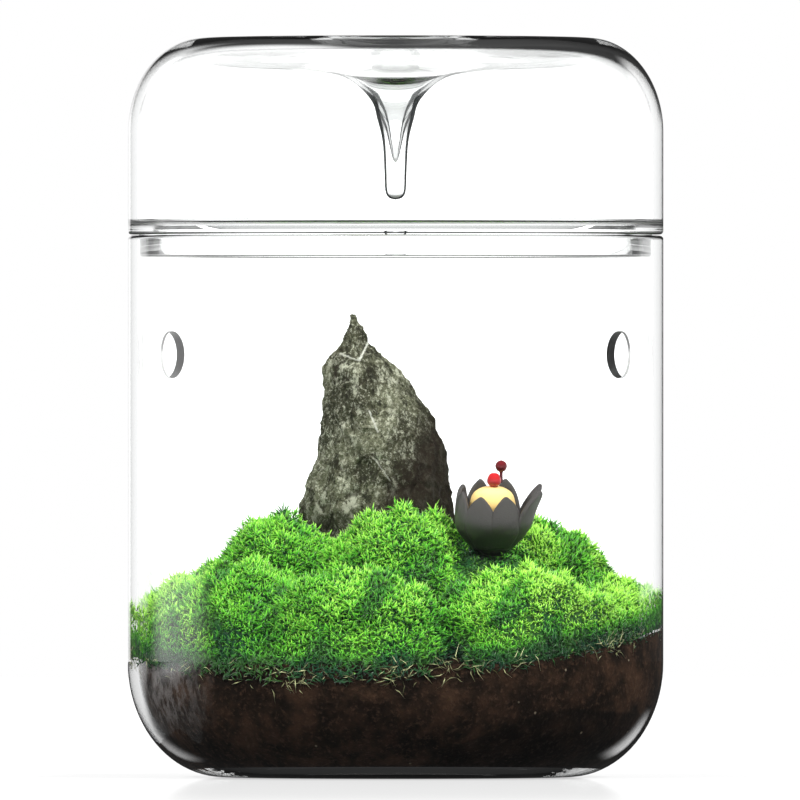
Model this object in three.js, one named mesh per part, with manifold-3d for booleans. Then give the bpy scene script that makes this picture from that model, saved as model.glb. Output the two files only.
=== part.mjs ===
// A lidded glass terrarium: a round clear jar with two vent holes, a clear lid whose top runs down
// into a hanging glass drip, a bed of dark soil heaped into a hill, an upright grey stone, cushions
// of moss over the whole hill, and a small charcoal lotus ornament with a seed pod and two berries.
// Millimetres, +Z up. The origin is the centre of the jar's flat foot, and the front faces -Y.
import * as THREE from "three";
import { mergeVertices } from "three/addons/utils/BufferGeometryUtils.js";
import Module from "manifold-3d";

const wasm = await Module();
wasm.setup();

// ---------- driving dimensions ----------
const JAR_RADIUS = 60; // outside
const WALL = 2.2; // glass of the jar and of the lid
const BASE_THICKNESS = 2.8;
const RIM_Z = 121.2; // the jar's rim
const TOP_Z = 165.6; // the lid's top
const SEAT_GAP = 0.3; // between pieces that rest on each other
const EDGE_ROUND = 0.8; // rounding of the rim and of the lid's edge
const FOOT_CORNER = { across: 21.2, up: 25.7 }; // quarter ellipse of the jar's lower corner
const TOP_CORNER = { across: 16.8, up: 21.2 }; // quarter ellipse of the lid's shoulder
const LID_PLATE = 2.6; // thickness of the lid's top beside the shoulder
const FLANGE = { outer: 57.3, inner: 54, bottomZ: 116.4, ledgeZ: 123.9, round: 0.6 };
const VENT = { radius: 5.3, z: 94.6, azimuthDeg: 118 }; // azimuth is from the front, on both sides
const ROUND_SEGMENTS = 36;

const INNER_RADIUS = JAR_RADIUS - WALL;
const SOIL_RADIUS = INNER_RADIUS - SEAT_GAP;
const SOIL_RINGS = 9;
const SOIL_PEAK_Z = 48; // the hill under the stone

const STONE_Y = 6; // centre line, from front to back
const STONE_SIDES = 14;
const ORNAMENT = { x: 21.6, y: -18, z: 49.4 }; // the lowest point of the lotus cup

const NEEDLE = { radius: 0.85, length: 5.6, sunk: 1.6 }; // one moss leaf, three-sided
const NEEDLES_PER_CUSHION = 118; // tried; those that would meet a neighbour are left out
const CLEAR_OF_GLASS = 0.9;

// Moss cushions: centre, half widths, height of the top, and half height of the whole ellipsoid.
const CUSHIONS = [
  { x: 2, y: -13, rx: 21, ry: 18, top: 58.3, rz: 24 }, // before the stone
  { x: -25.5, y: 2, rx: 17.5, ry: 22, top: 56.5, rz: 24 }, // left shoulder
  { x: 32, y: 4, rx: 16.5, ry: 22, top: 55.5, rz: 24 }, // right shoulder
  { x: 21, y: -18, rx: 14, ry: 14, top: 49.6, rz: 17 }, // seat of the ornament
  { x: -8, y: -37, rx: 25, ry: 24, top: 44, rz: 25 }, // front left of centre
  { x: 29, y: -35, rx: 24, ry: 23, top: 46, rz: 25 }, // front right
  { x: -33, y: -24, rx: 21, ry: 24, top: 46.8, rz: 25 }, // left, towards the front
  { x: -44.5, y: 0, rx: 15, ry: 23, top: 43, rz: 21 }, // left, at the glass
  { x: 47.5, y: -4, rx: 15, ry: 24, top: 43.8, rz: 21 }, // right, at the glass
  { x: 1, y: 31, rx: 26, ry: 21, top: 53, rz: 23 }, // behind the stone
  { x: -32, y: 29, rx: 22, ry: 22, top: 47.5, rz: 24 }, // back left
  { x: 34, y: 29, rx: 22, ry: 22, top: 47.5, rz: 24 }, // back right
  { x: -17, y: 47, rx: 22, ry: 18, top: 42, rz: 21 }, // back left, at the glass
  { x: 17, y: 48, rx: 22, ry: 18, top: 43, rz: 21 }, // back right, at the glass
];

// The stone from the front: height, left edge, the ridge between its two faces, right edge, and
// half depth.
const STONE_SECTIONS = [
  { z: 41, left: -18.5, ridge: 2, right: 11.5, depth: 10.5 },
  { z: 52, left: -22, ridge: 1.5, right: 13.8, depth: 12 },
  { z: 59.8, left: -22, ridge: 0.5, right: 13.6, depth: 12 },
  { z: 64.2, left: -20.9, ridge: -0.6, right: 12.8, depth: 11.6 },
  { z: 68.7, left: -19.3, ridge: -1.6, right: 12.2, depth: 11 },
  { z: 73.2, left: -18, ridge: -2.6, right: 11.7, depth: 10.2 },
  { z: 77.7, left: -17.2, ridge: -3.6, right: 10.1, depth: 9.4 },
  { z: 82.1, left: -16.8, ridge: -4.8, right: 8.2, depth: 8.6 },
  { z: 86.6, left: -16.6, ridge: -6, right: 4.9, depth: 7.6 },
  { z: 91.3, left: -17.2, ridge: -7.2, right: 1.2, depth: 6.4 },
  { z: 94.8, left: -14.8, ridge: -8, right: -3.2, depth: 4.6 },
  { z: 97, left: -12.3, ridge: -8.8, right: -5.8, depth: 3 },
  { z: 99.7, left: -11.2, ridge: -9.4, right: -7.4, depth: 1.8 },
  { z: 102.7, left: -10.3, ridge: -9.7, right: -9.1, depth: 0.6 },
];

// ---------- finishes ----------
const finish = (color, roughness, extra = {}) =>
  new THREE.MeshStandardMaterial({ color, roughness, metalness: 0, ...extra });
const FINISHES = {
  glass: finish(0xf4f8f7, 0.02, { transparent: true, opacity: 0.3 }),
  soil: finish(0x241812, 0.95),
  stone: finish(0x6f6c60, 0.85),
  moss: finish(0x4f9a24, 0.8),
  charcoal: finish(0x3d3b3a, 0.45),
  cream: finish(0xecd083, 0.5),
  red: finish(0xc4181c, 0.35),
  darkRed: finish(0x4f1219, 0.4),
};

// ---------- helpers ----------
// A repeatable random draw from 0 to 1.
function seeded(seed) {
  let state = seed;
  return () => {
    state = (state * 1664525 + 1013904223) % 4294967296;
    return state / 4294967296;
  };
}

const at = (radius, z) => new THREE.Vector2(radius, z);

// Points of an ellipse from one angle to another, both included.
function ellipseArc(centreRadius, centreZ, across, up, fromDeg, toDeg, steps) {
  const points = [];
  for (let i = 0; i <= steps; i++) {
    const angle = THREE.MathUtils.degToRad(fromDeg + ((toDeg - fromDeg) * i) / steps);
    points.push(at(centreRadius + across * Math.cos(angle), centreZ + up * Math.sin(angle)));
  }
  return points;
}

// A profile in radius and height, turned about Z.
function turned(profile, segments = ROUND_SEGMENTS) {
  return new THREE.LatheGeometry(profile, segments).rotateX(Math.PI / 2);
}

// A closed geometry as a solid that can be cut and joined.
function solid(geometry) {
  const bare = geometry.clone();
  bare.deleteAttribute("normal");
  bare.deleteAttribute("uv");
  const merged = mergeVertices(bare, 1e-4);
  return new wasm.Manifold(
    new wasm.Mesh({
      numProp: 3,
      vertProperties: merged.attributes.position.array,
      triVerts: new Uint32Array(merged.index.array),
    }),
  );
}

// The largest single body of a solid, without loose scraps and with small sealed hollows filled.
function largestBody(shape) {
  return shape.decompose().reduce((best, body) => (body.volume() > best.volume() ? body : best));
}

function node(name, source, material) {
  let geometry = source;
  if (!source.isBufferGeometry) {
    const cut = source.getMesh();
    geometry = new THREE.BufferGeometry()
      .setAttribute("position", new THREE.BufferAttribute(new Float32Array(cut.vertProperties), 3))
      .setIndex(new THREE.BufferAttribute(new Uint32Array(cut.triVerts), 1));
  }
  geometry.computeVertexNormals();
  const mesh = new THREE.Mesh(geometry, material);
  mesh.name = name;
  return mesh;
}

// ---------- glass jar ----------
const footCornerRadius = JAR_RADIUS - FOOT_CORNER.across;

// The jar's inside from the rim down to the axis, set in by a gap.
function jarInside(gap, steps) {
  const across = FOOT_CORNER.across - WALL - gap;
  const up = FOOT_CORNER.up - BASE_THICKNESS - gap;
  const corner = ellipseArc(footCornerRadius, FOOT_CORNER.up, across, up, 0, -90, steps);
  return [...corner, at(0, BASE_THICKNESS + gap)];
}

function jarSolid() {
  const rimOuter = ellipseArc(
    JAR_RADIUS - EDGE_ROUND, RIM_Z - EDGE_ROUND, EDGE_ROUND, EDGE_ROUND, 0, 90, 2);
  const rimInner = ellipseArc(
    INNER_RADIUS + EDGE_ROUND, RIM_Z - EDGE_ROUND, EDGE_ROUND, EDGE_ROUND, 90, 180, 2);
  const profile = [
    at(0, 0),
    ...ellipseArc(
      footCornerRadius, FOOT_CORNER.up, FOOT_CORNER.across, FOOT_CORNER.up, -90, 0, 6),
    ...rimOuter,
    ...rimInner,
    ...jarInside(0, 5),
  ];
  const vents = [-1, 1].map((side) => {
    const angle = THREE.MathUtils.degToRad(side * VENT.azimuthDeg);
    const drill = new THREE.CylinderGeometry(VENT.radius, VENT.radius, 6 * WALL, 20);
    drill.translate(0, -JAR_RADIUS, 0).rotateZ(angle).translate(0, 0, VENT.z);
    return solid(drill);
  });
  return vents.reduce((jar, vent) => jar.subtract(vent), solid(turned(profile)));
}

// ---------- glass lid ----------
// The underside runs from the drip's tip out to the shoulder, and the funnel from the top down.
const DRIP_UNDERSIDE = [
  at(0, 129.3), at(1.5, 129.8), at(2.3, 131.6), at(2.5, 136), at(2.9, 142.3),
  at(4.1, 147.6), at(5.4, 152), at(9.6, 156.9), at(15, 159.1), at(28, 161.3),
];
const FUNNEL_TOP = [
  at(30, 165.3), at(21, 163.9), at(14, 161.5), at(9, 158.2), at(5.9, 154.6),
  at(3.4, 150.6), at(1.8, 146.6), at(1.0, 142), at(0, 137),
];

function lidSolid() {
  const shoulderRadius = JAR_RADIUS - TOP_CORNER.across;
  const shoulderZ = TOP_Z - TOP_CORNER.up;
  const seatZ = RIM_Z + SEAT_GAP;
  const { outer, inner, bottomZ, ledgeZ, round } = FLANGE;
  const profile = [
    ...DRIP_UNDERSIDE,
    ...ellipseArc(
      shoulderRadius, shoulderZ, TOP_CORNER.across - WALL, TOP_CORNER.up - LID_PLATE, 90, 0, 4),
    at(INNER_RADIUS, ledgeZ + 1),
    at(INNER_RADIUS - 1, ledgeZ),
    at(inner + round, ledgeZ),
    at(inner, ledgeZ - round),
    at(inner, bottomZ + round),
    at(inner + round, bottomZ),
    at(outer - round, bottomZ),
    at(outer, bottomZ + round),
    at(outer, seatZ),
    ...ellipseArc(
      JAR_RADIUS - EDGE_ROUND, seatZ + EDGE_ROUND, EDGE_ROUND, EDGE_ROUND, -90, 0, 2),
    ...ellipseArc(shoulderRadius, shoulderZ, TOP_CORNER.across, TOP_CORNER.up, 0, 90, 5),
    ...FUNNEL_TOP,
  ];
  return solid(turned(profile));
}

// ---------- soil ----------
// The soil meets the glass low in front, higher on the right and behind, and rises to a hill.
function soilHeight(x, y) {
  const u = x / SOIL_RADIUS;
  const v = y / SOIL_RADIUS;
  const atGlass = 27.5 + 3.2 * u + 4.5 * v + 3 * u * u;
  const share = Math.max(0, 1 - u * u - v * v) ** 1.5;
  const clods = 0.7 * Math.sin(0.31 * x + 1.3) * Math.sin(0.27 * y) + 0.5 * Math.sin(0.55 * (x - y));
  return atGlass + (SOIL_PEAK_Z - atGlass) * share + clods * (0.3 + share);
}

// The bed between the glass and the hill's surface. As a cutter it is lifted, and reaches into the glass.
function soilBed(asCutter = false) {
  const reach = asCutter ? 1 : 0;
  const lift = asCutter ? SEAT_GAP : 0;
  const rings = [];
  for (let i = 0; i <= SOIL_RINGS; i++) rings.push(at((SOIL_RADIUS * i) / SOIL_RINGS, SOIL_PEAK_Z));
  if (asCutter) rings.push(at(SOIL_RADIUS + reach, SOIL_PEAK_Z));
  const geometry = turned([...rings, ...jarInside(SEAT_GAP - reach, 4)].reverse());
  const position = geometry.attributes.position;
  for (let i = 0; i < position.count; i++) {
    if (position.getZ(i) < SOIL_PEAK_Z - 1) continue;
    position.setZ(i, soilHeight(position.getX(i), position.getY(i)) + lift);
  }
  return solid(geometry);
}

// ---------- stone ----------
// How far a corner is chipped off, from 0 to 1, always alike for that corner.
function chipped(level, side) {
  const wild = Math.sin(127.1 * level + 311.7 * (side % STONE_SIDES)) * 43758.5453;
  return wild - Math.floor(wild);
}

// A corner of a section: flat faces run from the two edges to a ridge in front and one behind.
function stonePoint(level, side, grow) {
  const section = STONE_SECTIONS[level];
  const angle = (2 * Math.PI * side) / STONE_SIDES;
  const across = Math.cos(angle);
  const half = across < 0 ? section.ridge - section.left : section.right - section.ridge;
  const bulge = 1 - 0.9 * Math.abs(across) ** 1.7;
  const chip = 1 - 0.2 * chipped(level, side) * bulge;
  const lean = 0.05 * (section.z - SOIL_PEAK_Z);
  return new THREE.Vector3(
    section.ridge + (half + grow) * across,
    STONE_Y + lean + Math.sin(angle) * (section.depth * 1.1 * chip * Math.sqrt(bulge) + grow),
    section.z,
  );
}

function stoneSolid(grow = 0) {
  const points = [];
  const faces = [];
  const last = STONE_SECTIONS.length - 1;
  STONE_SECTIONS.forEach((section, level) => {
    const z = section.z + (level === 0 ? -grow : level === last ? grow : 0);
    for (let side = 0; side < STONE_SIDES; side++) {
      const point = stonePoint(level, side, grow);
      points.push(point.x, point.y, z);
    }
  });
  const index = (level, side) => level * STONE_SIDES + (side % STONE_SIDES);
  for (let level = 0; level < last; level++) {
    for (let side = 0; side < STONE_SIDES; side++) {
      faces.push(index(level, side), index(level, side + 1), index(level + 1, side + 1));
      faces.push(index(level, side), index(level + 1, side + 1), index(level + 1, side));
    }
  }
  for (let side = 1; side < STONE_SIDES - 1; side++) {
    faces.push(index(0, 0), index(0, side + 1), index(0, side));
    faces.push(index(last, 0), index(last, side), index(last, side + 1));
  }
  const geometry = new THREE.BufferGeometry()
    .setAttribute("position", new THREE.Float32BufferAttribute(points, 3))
    .setIndex(faces);
  return solid(geometry);
}

// ---------- lotus ornament ----------
const CUP_BOWL = [at(0, 0), at(2.8, 0.4), at(5.4, 2.4), at(7, 5.2), at(7.5, 8), at(6.4, 8.2), at(0, 8.2)];
const PETALS = 8;
const PETAL_THICKNESS = 1.1;
const POD_PROFILE = [at(0, 8.5), at(4, 8.5), at(5.1, 10.6), at(5.2, 12.4), at(4.4, 14.6), at(2.4, 16), at(0, 16.4)];
const BERRY = { radius: 1.8, x: -0.4, y: -2.2, z: 17.9 };
const DARK_BERRY = { radius: 1.3, x: 1.9, y: 0.4, z: 20.2, stalk: 3.6 };

// One petal: a cupped blade that follows the bowl, widest half way up, pointed at the tip.
function petalSolid(turn, height, flare) {
  const rows = 5;
  const columns = 2;
  const points = [];
  const faces = [];
  for (const face of [-1, 1]) {
    for (let row = 0; row <= rows; row++) {
      const up = row / rows;
      const radius = 4.6 + 3.5 * Math.sin(Math.PI * Math.min(0.5, 1.1 * up)) - 0.9 * up ** 3 + flare * up ** 3;
      const halfWidth = 0.35 + 3.5 * Math.sin(Math.PI * Math.min(1, 0.2 + 0.8 * up ** 1.25)) ** 0.75;
      for (let column = 0; column <= columns; column++) {
        const across = (2 * column) / columns - 1;
        const rib = face > 0 ? 0.35 * (1 - across * across) : 0;
        const angle = turn + (halfWidth * across) / radius;
        const reach = radius + (face * PETAL_THICKNESS) / 2 + rib;
        points.push(reach * Math.cos(angle), reach * Math.sin(angle), 1.8 + (height - 1.8) * up);
      }
    }
  }
  const width = columns + 1;
  const sheet = (rows + 1) * width;
  const quad = (a, b, c, d) => faces.push(a, b, c, a, c, d);
  for (let row = 0; row < rows; row++) {
    for (let column = 0; column < columns; column++) {
      const i = row * width + column;
      quad(sheet + i, sheet + i + 1, sheet + i + width + 1, sheet + i + width);
      quad(i, i + width, i + width + 1, i + 1);
    }
    const left = row * width;
    const right = left + columns;
    quad(left, sheet + left, sheet + left + width, left + width);
    quad(right, right + width, sheet + right + width, sheet + right);
  }
  for (let column = 0; column < columns; column++) {
    const top = rows * width + column;
    quad(column, column + 1, sheet + column + 1, sheet + column);
    quad(top, sheet + top, sheet + top + 1, top + 1);
  }
  return solid(
    new THREE.BufferGeometry()
      .setAttribute("position", new THREE.Float32BufferAttribute(points, 3))
      .setIndex(faces),
  );
}

function cupSolid() {
  let cup = solid(turned(CUP_BOWL, 24));
  for (let petal = 0; petal < PETALS; petal++) {
    const turn = (2 * Math.PI * (petal + 0.5)) / PETALS;
    const toTheRight = Math.max(0, Math.cos(turn));
    const height = 15.4 + 2.2 * Math.sin(turn);
    cup = cup.add(petalSolid(turn, height, 4 * toTheRight ** 2));
  }
  return largestBody(cup);
}

const berrySphere = (berry) => {
  const sphere = new THREE.SphereGeometry(berry.radius, 12, 8).rotateX(Math.PI / 2);
  return solid(sphere.translate(berry.x, berry.y, berry.z));
};

function darkBerrySolid() {
  const stalk = new THREE.CylinderGeometry(0.45, 0.35, DARK_BERRY.stalk, 6).rotateX(Math.PI / 2);
  stalk.translate(0, 0, -DARK_BERRY.stalk / 2);
  stalk.translate(DARK_BERRY.x, DARK_BERRY.y, DARK_BERRY.z);
  return berrySphere(DARK_BERRY).add(solid(stalk));
}

// A plain bowl round the cup: the pocket that the moss leaves for it.
function ornamentPocket() {
  const pocket = [at(0, -0.4), at(3.4, -0.2), at(6.2, 1.8), at(8, 4.6), at(9.8, 9), at(11.5, 20), at(0, 20)];
  return solid(turned(pocket, 24)).translate([ORNAMENT.x, ORNAMENT.y, ORNAMENT.z]);
}

// ---------- moss ----------
// A cushion's surface in a direction: an ellipsoid with soft lobes.
function cushionPoint(cushion, number, direction, grow) {
  const lobes = 1 + 0.05 * Math.sin(3 * Math.atan2(direction.y, direction.x) + number) +
    0.04 * Math.sin(7 * direction.z + 2 * number);
  return new THREE.Vector3(
    cushion.x + (cushion.rx + grow) * lobes * direction.x,
    cushion.y + (cushion.ry + grow) * lobes * direction.y,
    cushion.top - cushion.rz + (cushion.rz + grow) * lobes * direction.z,
  );
}

function cushionSolid(cushion, number, grow) {
  const geometry = new THREE.SphereGeometry(1, 14, 9).rotateX(Math.PI / 2);
  const position = geometry.attributes.position;
  for (let i = 0; i < position.count; i++) {
    const direction = new THREE.Vector3().fromBufferAttribute(position, i);
    const point = cushionPoint(cushion, number, direction, grow);
    position.setXYZ(i, point.x, point.y, point.z);
  }
  return solid(geometry);
}

// How deep a point lies in a cushion: under 1 is inside.
function depthIn(cushion, point) {
  return Math.hypot(
    (point.x - cushion.x) / (cushion.rx * 1.06),
    (point.y - cushion.y) / (cushion.ry * 1.06),
    (point.z - cushion.top + cushion.rz) / (cushion.rz * 1.06),
  );
}

// The shortest way between two needles, sampled along both.
function apart(first, second) {
  let least = Infinity;
  for (let i = 0; i <= 4; i++) {
    const point = first.root.clone().lerp(first.tip, i / 4);
    const line = new THREE.Line3(second.root, second.tip);
    least = Math.min(least, line.closestPointToPoint(point, true, new THREE.Vector3()).distanceTo(point));
  }
  return least;
}

function needleSolid({ root, tip }) {
  const along = tip.clone().sub(root);
  const cone = new THREE.ConeGeometry(NEEDLE.radius, along.length(), 3).translate(0, along.length() / 2, 0);
  const turn = new THREE.Quaternion().setFromUnitVectors(new THREE.Vector3(0, 1, 0), along.normalize());
  return solid(cone.applyQuaternion(turn).translate(root.x, root.y, root.z));
}

// Spots spread evenly over a cushion, each with a leaf that leans outwards and up.
function needlesOf(cushion, number, placed, blocked) {
  const random = seeded(977 + 131 * number);
  const kept = [];
  for (let i = 0; i < NEEDLES_PER_CUSHION; i++) {
    const up = 1 - (i + 0.5) / NEEDLES_PER_CUSHION * 1.05;
    const turn = i * 2.399963 + number;
    const level = Math.sqrt(1 - up * up);
    const direction = new THREE.Vector3(level * Math.cos(turn), level * Math.sin(turn), up);
    const surface = cushionPoint(cushion, number, direction, 0);
    const outward = new THREE.Vector3(
      direction.x / cushion.rx, direction.y / cushion.ry, direction.z / cushion.rz).normalize();
    outward.z += 0.35;
    outward.x += 0.5 * (random() - 0.5);
    outward.y += 0.5 * (random() - 0.5);
    const reach = NEEDLE.length * (0.8 + 0.4 * random());
    const room = INNER_RADIUS - CLEAR_OF_GLASS - Math.hypot(surface.x, surface.y);
    const flat = Math.hypot(outward.x, outward.y) * (outward.x * surface.x + outward.y * surface.y > 0 ? 1 : 0);
    if (flat > 0 && room < reach) {
      const kept = Math.max(0.12, room / reach);
      outward.x *= kept;
      outward.y *= kept;
      outward.z = Math.max(outward.z, 0.6);
    }
    outward.normalize();
    const needle = {
      number,
      root: surface.clone().addScaledVector(outward, -NEEDLE.sunk),
      tip: surface.clone().addScaledVector(outward, reach - NEEDLE.sunk * 0.5),
    };
    const low = surface.z < soilHeight(surface.x, surface.y) + 2.2;
    const atGlass = Math.max(Math.hypot(needle.tip.x, needle.tip.y), Math.hypot(surface.x, surface.y)) >
      INNER_RADIUS - CLEAR_OF_GLASS;
    const inNeighbour = CUSHIONS.some((other, j) => j !== number &&
      [surface, needle.tip].some((point) => depthIn(other, point) < 1.05));
    const crosses = placed.some((other) => other.number !== number && apart(needle, other) < 1.9);
    if (low || atGlass || inNeighbour || crosses) continue;
    if (blocked.some((shape) => !shape.intersect(needleSolid(needle)).isEmpty())) continue;
    kept.push(needle);
  }
  placed.push(...kept);
  return kept;
}

function mossSolids(stoneHole) {
  const inside = solid(turned([at(0, TOP_Z), at(SOIL_RADIUS, TOP_Z), ...jarInside(SEAT_GAP, 4)].reverse()));
  const underMoss = soilBed(true);
  const pocket = ornamentPocket();
  const placed = [];
  return CUSHIONS.map((cushion, number) => {
    let core = cushionSolid(cushion, number, 0).intersect(inside);
    core = core.subtract(underMoss).subtract(stoneHole).subtract(pocket);
    for (let other = 0; other < number; other++) {
      core = core.subtract(cushionSolid(CUSHIONS[other], other, SEAT_GAP));
    }
    core = largestBody(core);
    const needles = needlesOf(cushion, number, placed, [underMoss, stoneHole, pocket]);
    return largestBody(needles.reduce((moss, needle) => moss.add(needleSolid(needle)), core));
  });
}

// ---------- the terrarium ----------
const terrarium = new THREE.Group();
const stoneHole = stoneSolid(SEAT_GAP + 0.1);
const moved = (shape) => shape.translate([ORNAMENT.x, ORNAMENT.y, ORNAMENT.z]);

terrarium.add(node("jar", jarSolid(), FINISHES.glass));
terrarium.add(node("lid", lidSolid(), FINISHES.glass));
terrarium.add(node("soil", soilBed().subtract(stoneHole), FINISHES.soil));
terrarium.add(node("stone", stoneSolid(), FINISHES.stone));
mossSolids(stoneHole).forEach((moss, number) => {
  terrarium.add(node(`moss_cushion_${String(number + 1).padStart(2, "0")}`, moss, FINISHES.moss));
});
terrarium.add(node("lotus_cup", moved(cupSolid()), FINISHES.charcoal));
terrarium.add(node("lotus_pod", moved(solid(turned(POD_PROFILE, 20))), FINISHES.cream));
terrarium.add(node("red_berry", moved(berrySphere(BERRY)), FINISHES.red));
terrarium.add(node("dark_berry", moved(darkBerrySolid()), FINISHES.darkRed));

export default terrarium;
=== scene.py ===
"""Dresses the lidded glass terrarium: clear glass, dark soil, a grey stone, moss and a lotus ornament.

Lengths are in millimetres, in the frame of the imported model, and meshes are made in metres.
"""

import logging
import math
from dataclasses import dataclass, fields
from enum import Enum

import bpy
import numpy as np
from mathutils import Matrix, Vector


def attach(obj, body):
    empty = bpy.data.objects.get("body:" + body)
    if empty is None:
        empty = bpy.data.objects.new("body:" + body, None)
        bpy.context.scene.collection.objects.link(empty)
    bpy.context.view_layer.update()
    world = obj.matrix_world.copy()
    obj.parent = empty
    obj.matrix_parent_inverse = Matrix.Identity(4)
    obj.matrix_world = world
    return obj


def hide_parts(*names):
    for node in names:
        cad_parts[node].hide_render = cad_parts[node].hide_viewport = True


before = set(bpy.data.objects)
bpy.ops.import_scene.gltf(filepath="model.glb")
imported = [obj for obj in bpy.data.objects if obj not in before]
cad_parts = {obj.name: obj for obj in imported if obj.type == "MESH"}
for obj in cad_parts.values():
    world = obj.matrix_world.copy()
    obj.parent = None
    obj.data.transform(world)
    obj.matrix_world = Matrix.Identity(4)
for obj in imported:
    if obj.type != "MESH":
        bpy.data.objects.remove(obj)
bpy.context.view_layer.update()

MM = 0.001
METRE = 1000
GOLDEN_ANGLE = 2.399963
GLASS_IOR = 1.46
CUP_FOOT = (21.6, -18, 49.4)
log = logging.getLogger("terrarium")

Piece = bpy.types.Object
Material = bpy.types.Material
Pair = tuple[float, float]
Rgb = tuple[float, float, float]
Spot = tuple[float, float, float]
Band = tuple[float, float, float, float]
Profile = list[Pair]
Mesh = tuple[np.ndarray, np.ndarray]


# ---------------------------------------------------------------- shader writing
class Wire:
    """A shader socket that takes Python's operators, each of which adds a Math node."""

    def __init__(self, book: "NodeBook", socket: bpy.types.NodeSocket) -> None:
        """Keeps the socket and the tree that it belongs to."""
        self.book = book
        self.socket = socket

    def _maths(self, operation: str, *values: object) -> "Wire":
        """A Math node on the values."""
        return self.book.add("ShaderNodeMath", {"operation": operation}, dict(enumerate(values)))

    def __add__(self, other: object) -> "Wire":
        """self + other."""
        return self._maths("ADD", self, other)

    __radd__ = __add__

    def __sub__(self, other: object) -> "Wire":
        """self - other."""
        return self._maths("SUBTRACT", self, other)

    def __rsub__(self, other: object) -> "Wire":
        """other - self."""
        return self._maths("SUBTRACT", other, self)

    def __mul__(self, other: object) -> "Wire":
        """self * other."""
        return self._maths("MULTIPLY", self, other)

    __rmul__ = __mul__

    def __truediv__(self, other: object) -> "Wire":
        """self / other."""
        return self._maths("DIVIDE", self, other)

    def __pow__(self, other: object) -> "Wire":
        """self to the power of other."""
        return self._maths("POWER", self, other)

    def __abs__(self) -> "Wire":
        """self without its sign."""
        return self._maths("ABSOLUTE", self)

    def ramp(self, low: float, high: float) -> "Wire":
        """A smooth rise.

        Args:
            low: where the rise starts.
            high: where it ends; below low, the ramp falls.

        Returns:
            The share, from 0 to 1.
        """
        if low > high:
            return 1 - self.ramp(high, low)
        settings = {"interpolation_type": "SMOOTHSTEP"}
        inputs = {"Value": self, "From Min": low, "From Max": high}
        return self.book.add("ShaderNodeMapRange", settings, inputs)

    def band(self, start: float, full: float, fading: float, end: float) -> "Wire":
        """A smooth rise from start to full, and a fall from fading to end."""
        return self.ramp(start, full) * self.ramp(end, fading)


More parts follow.
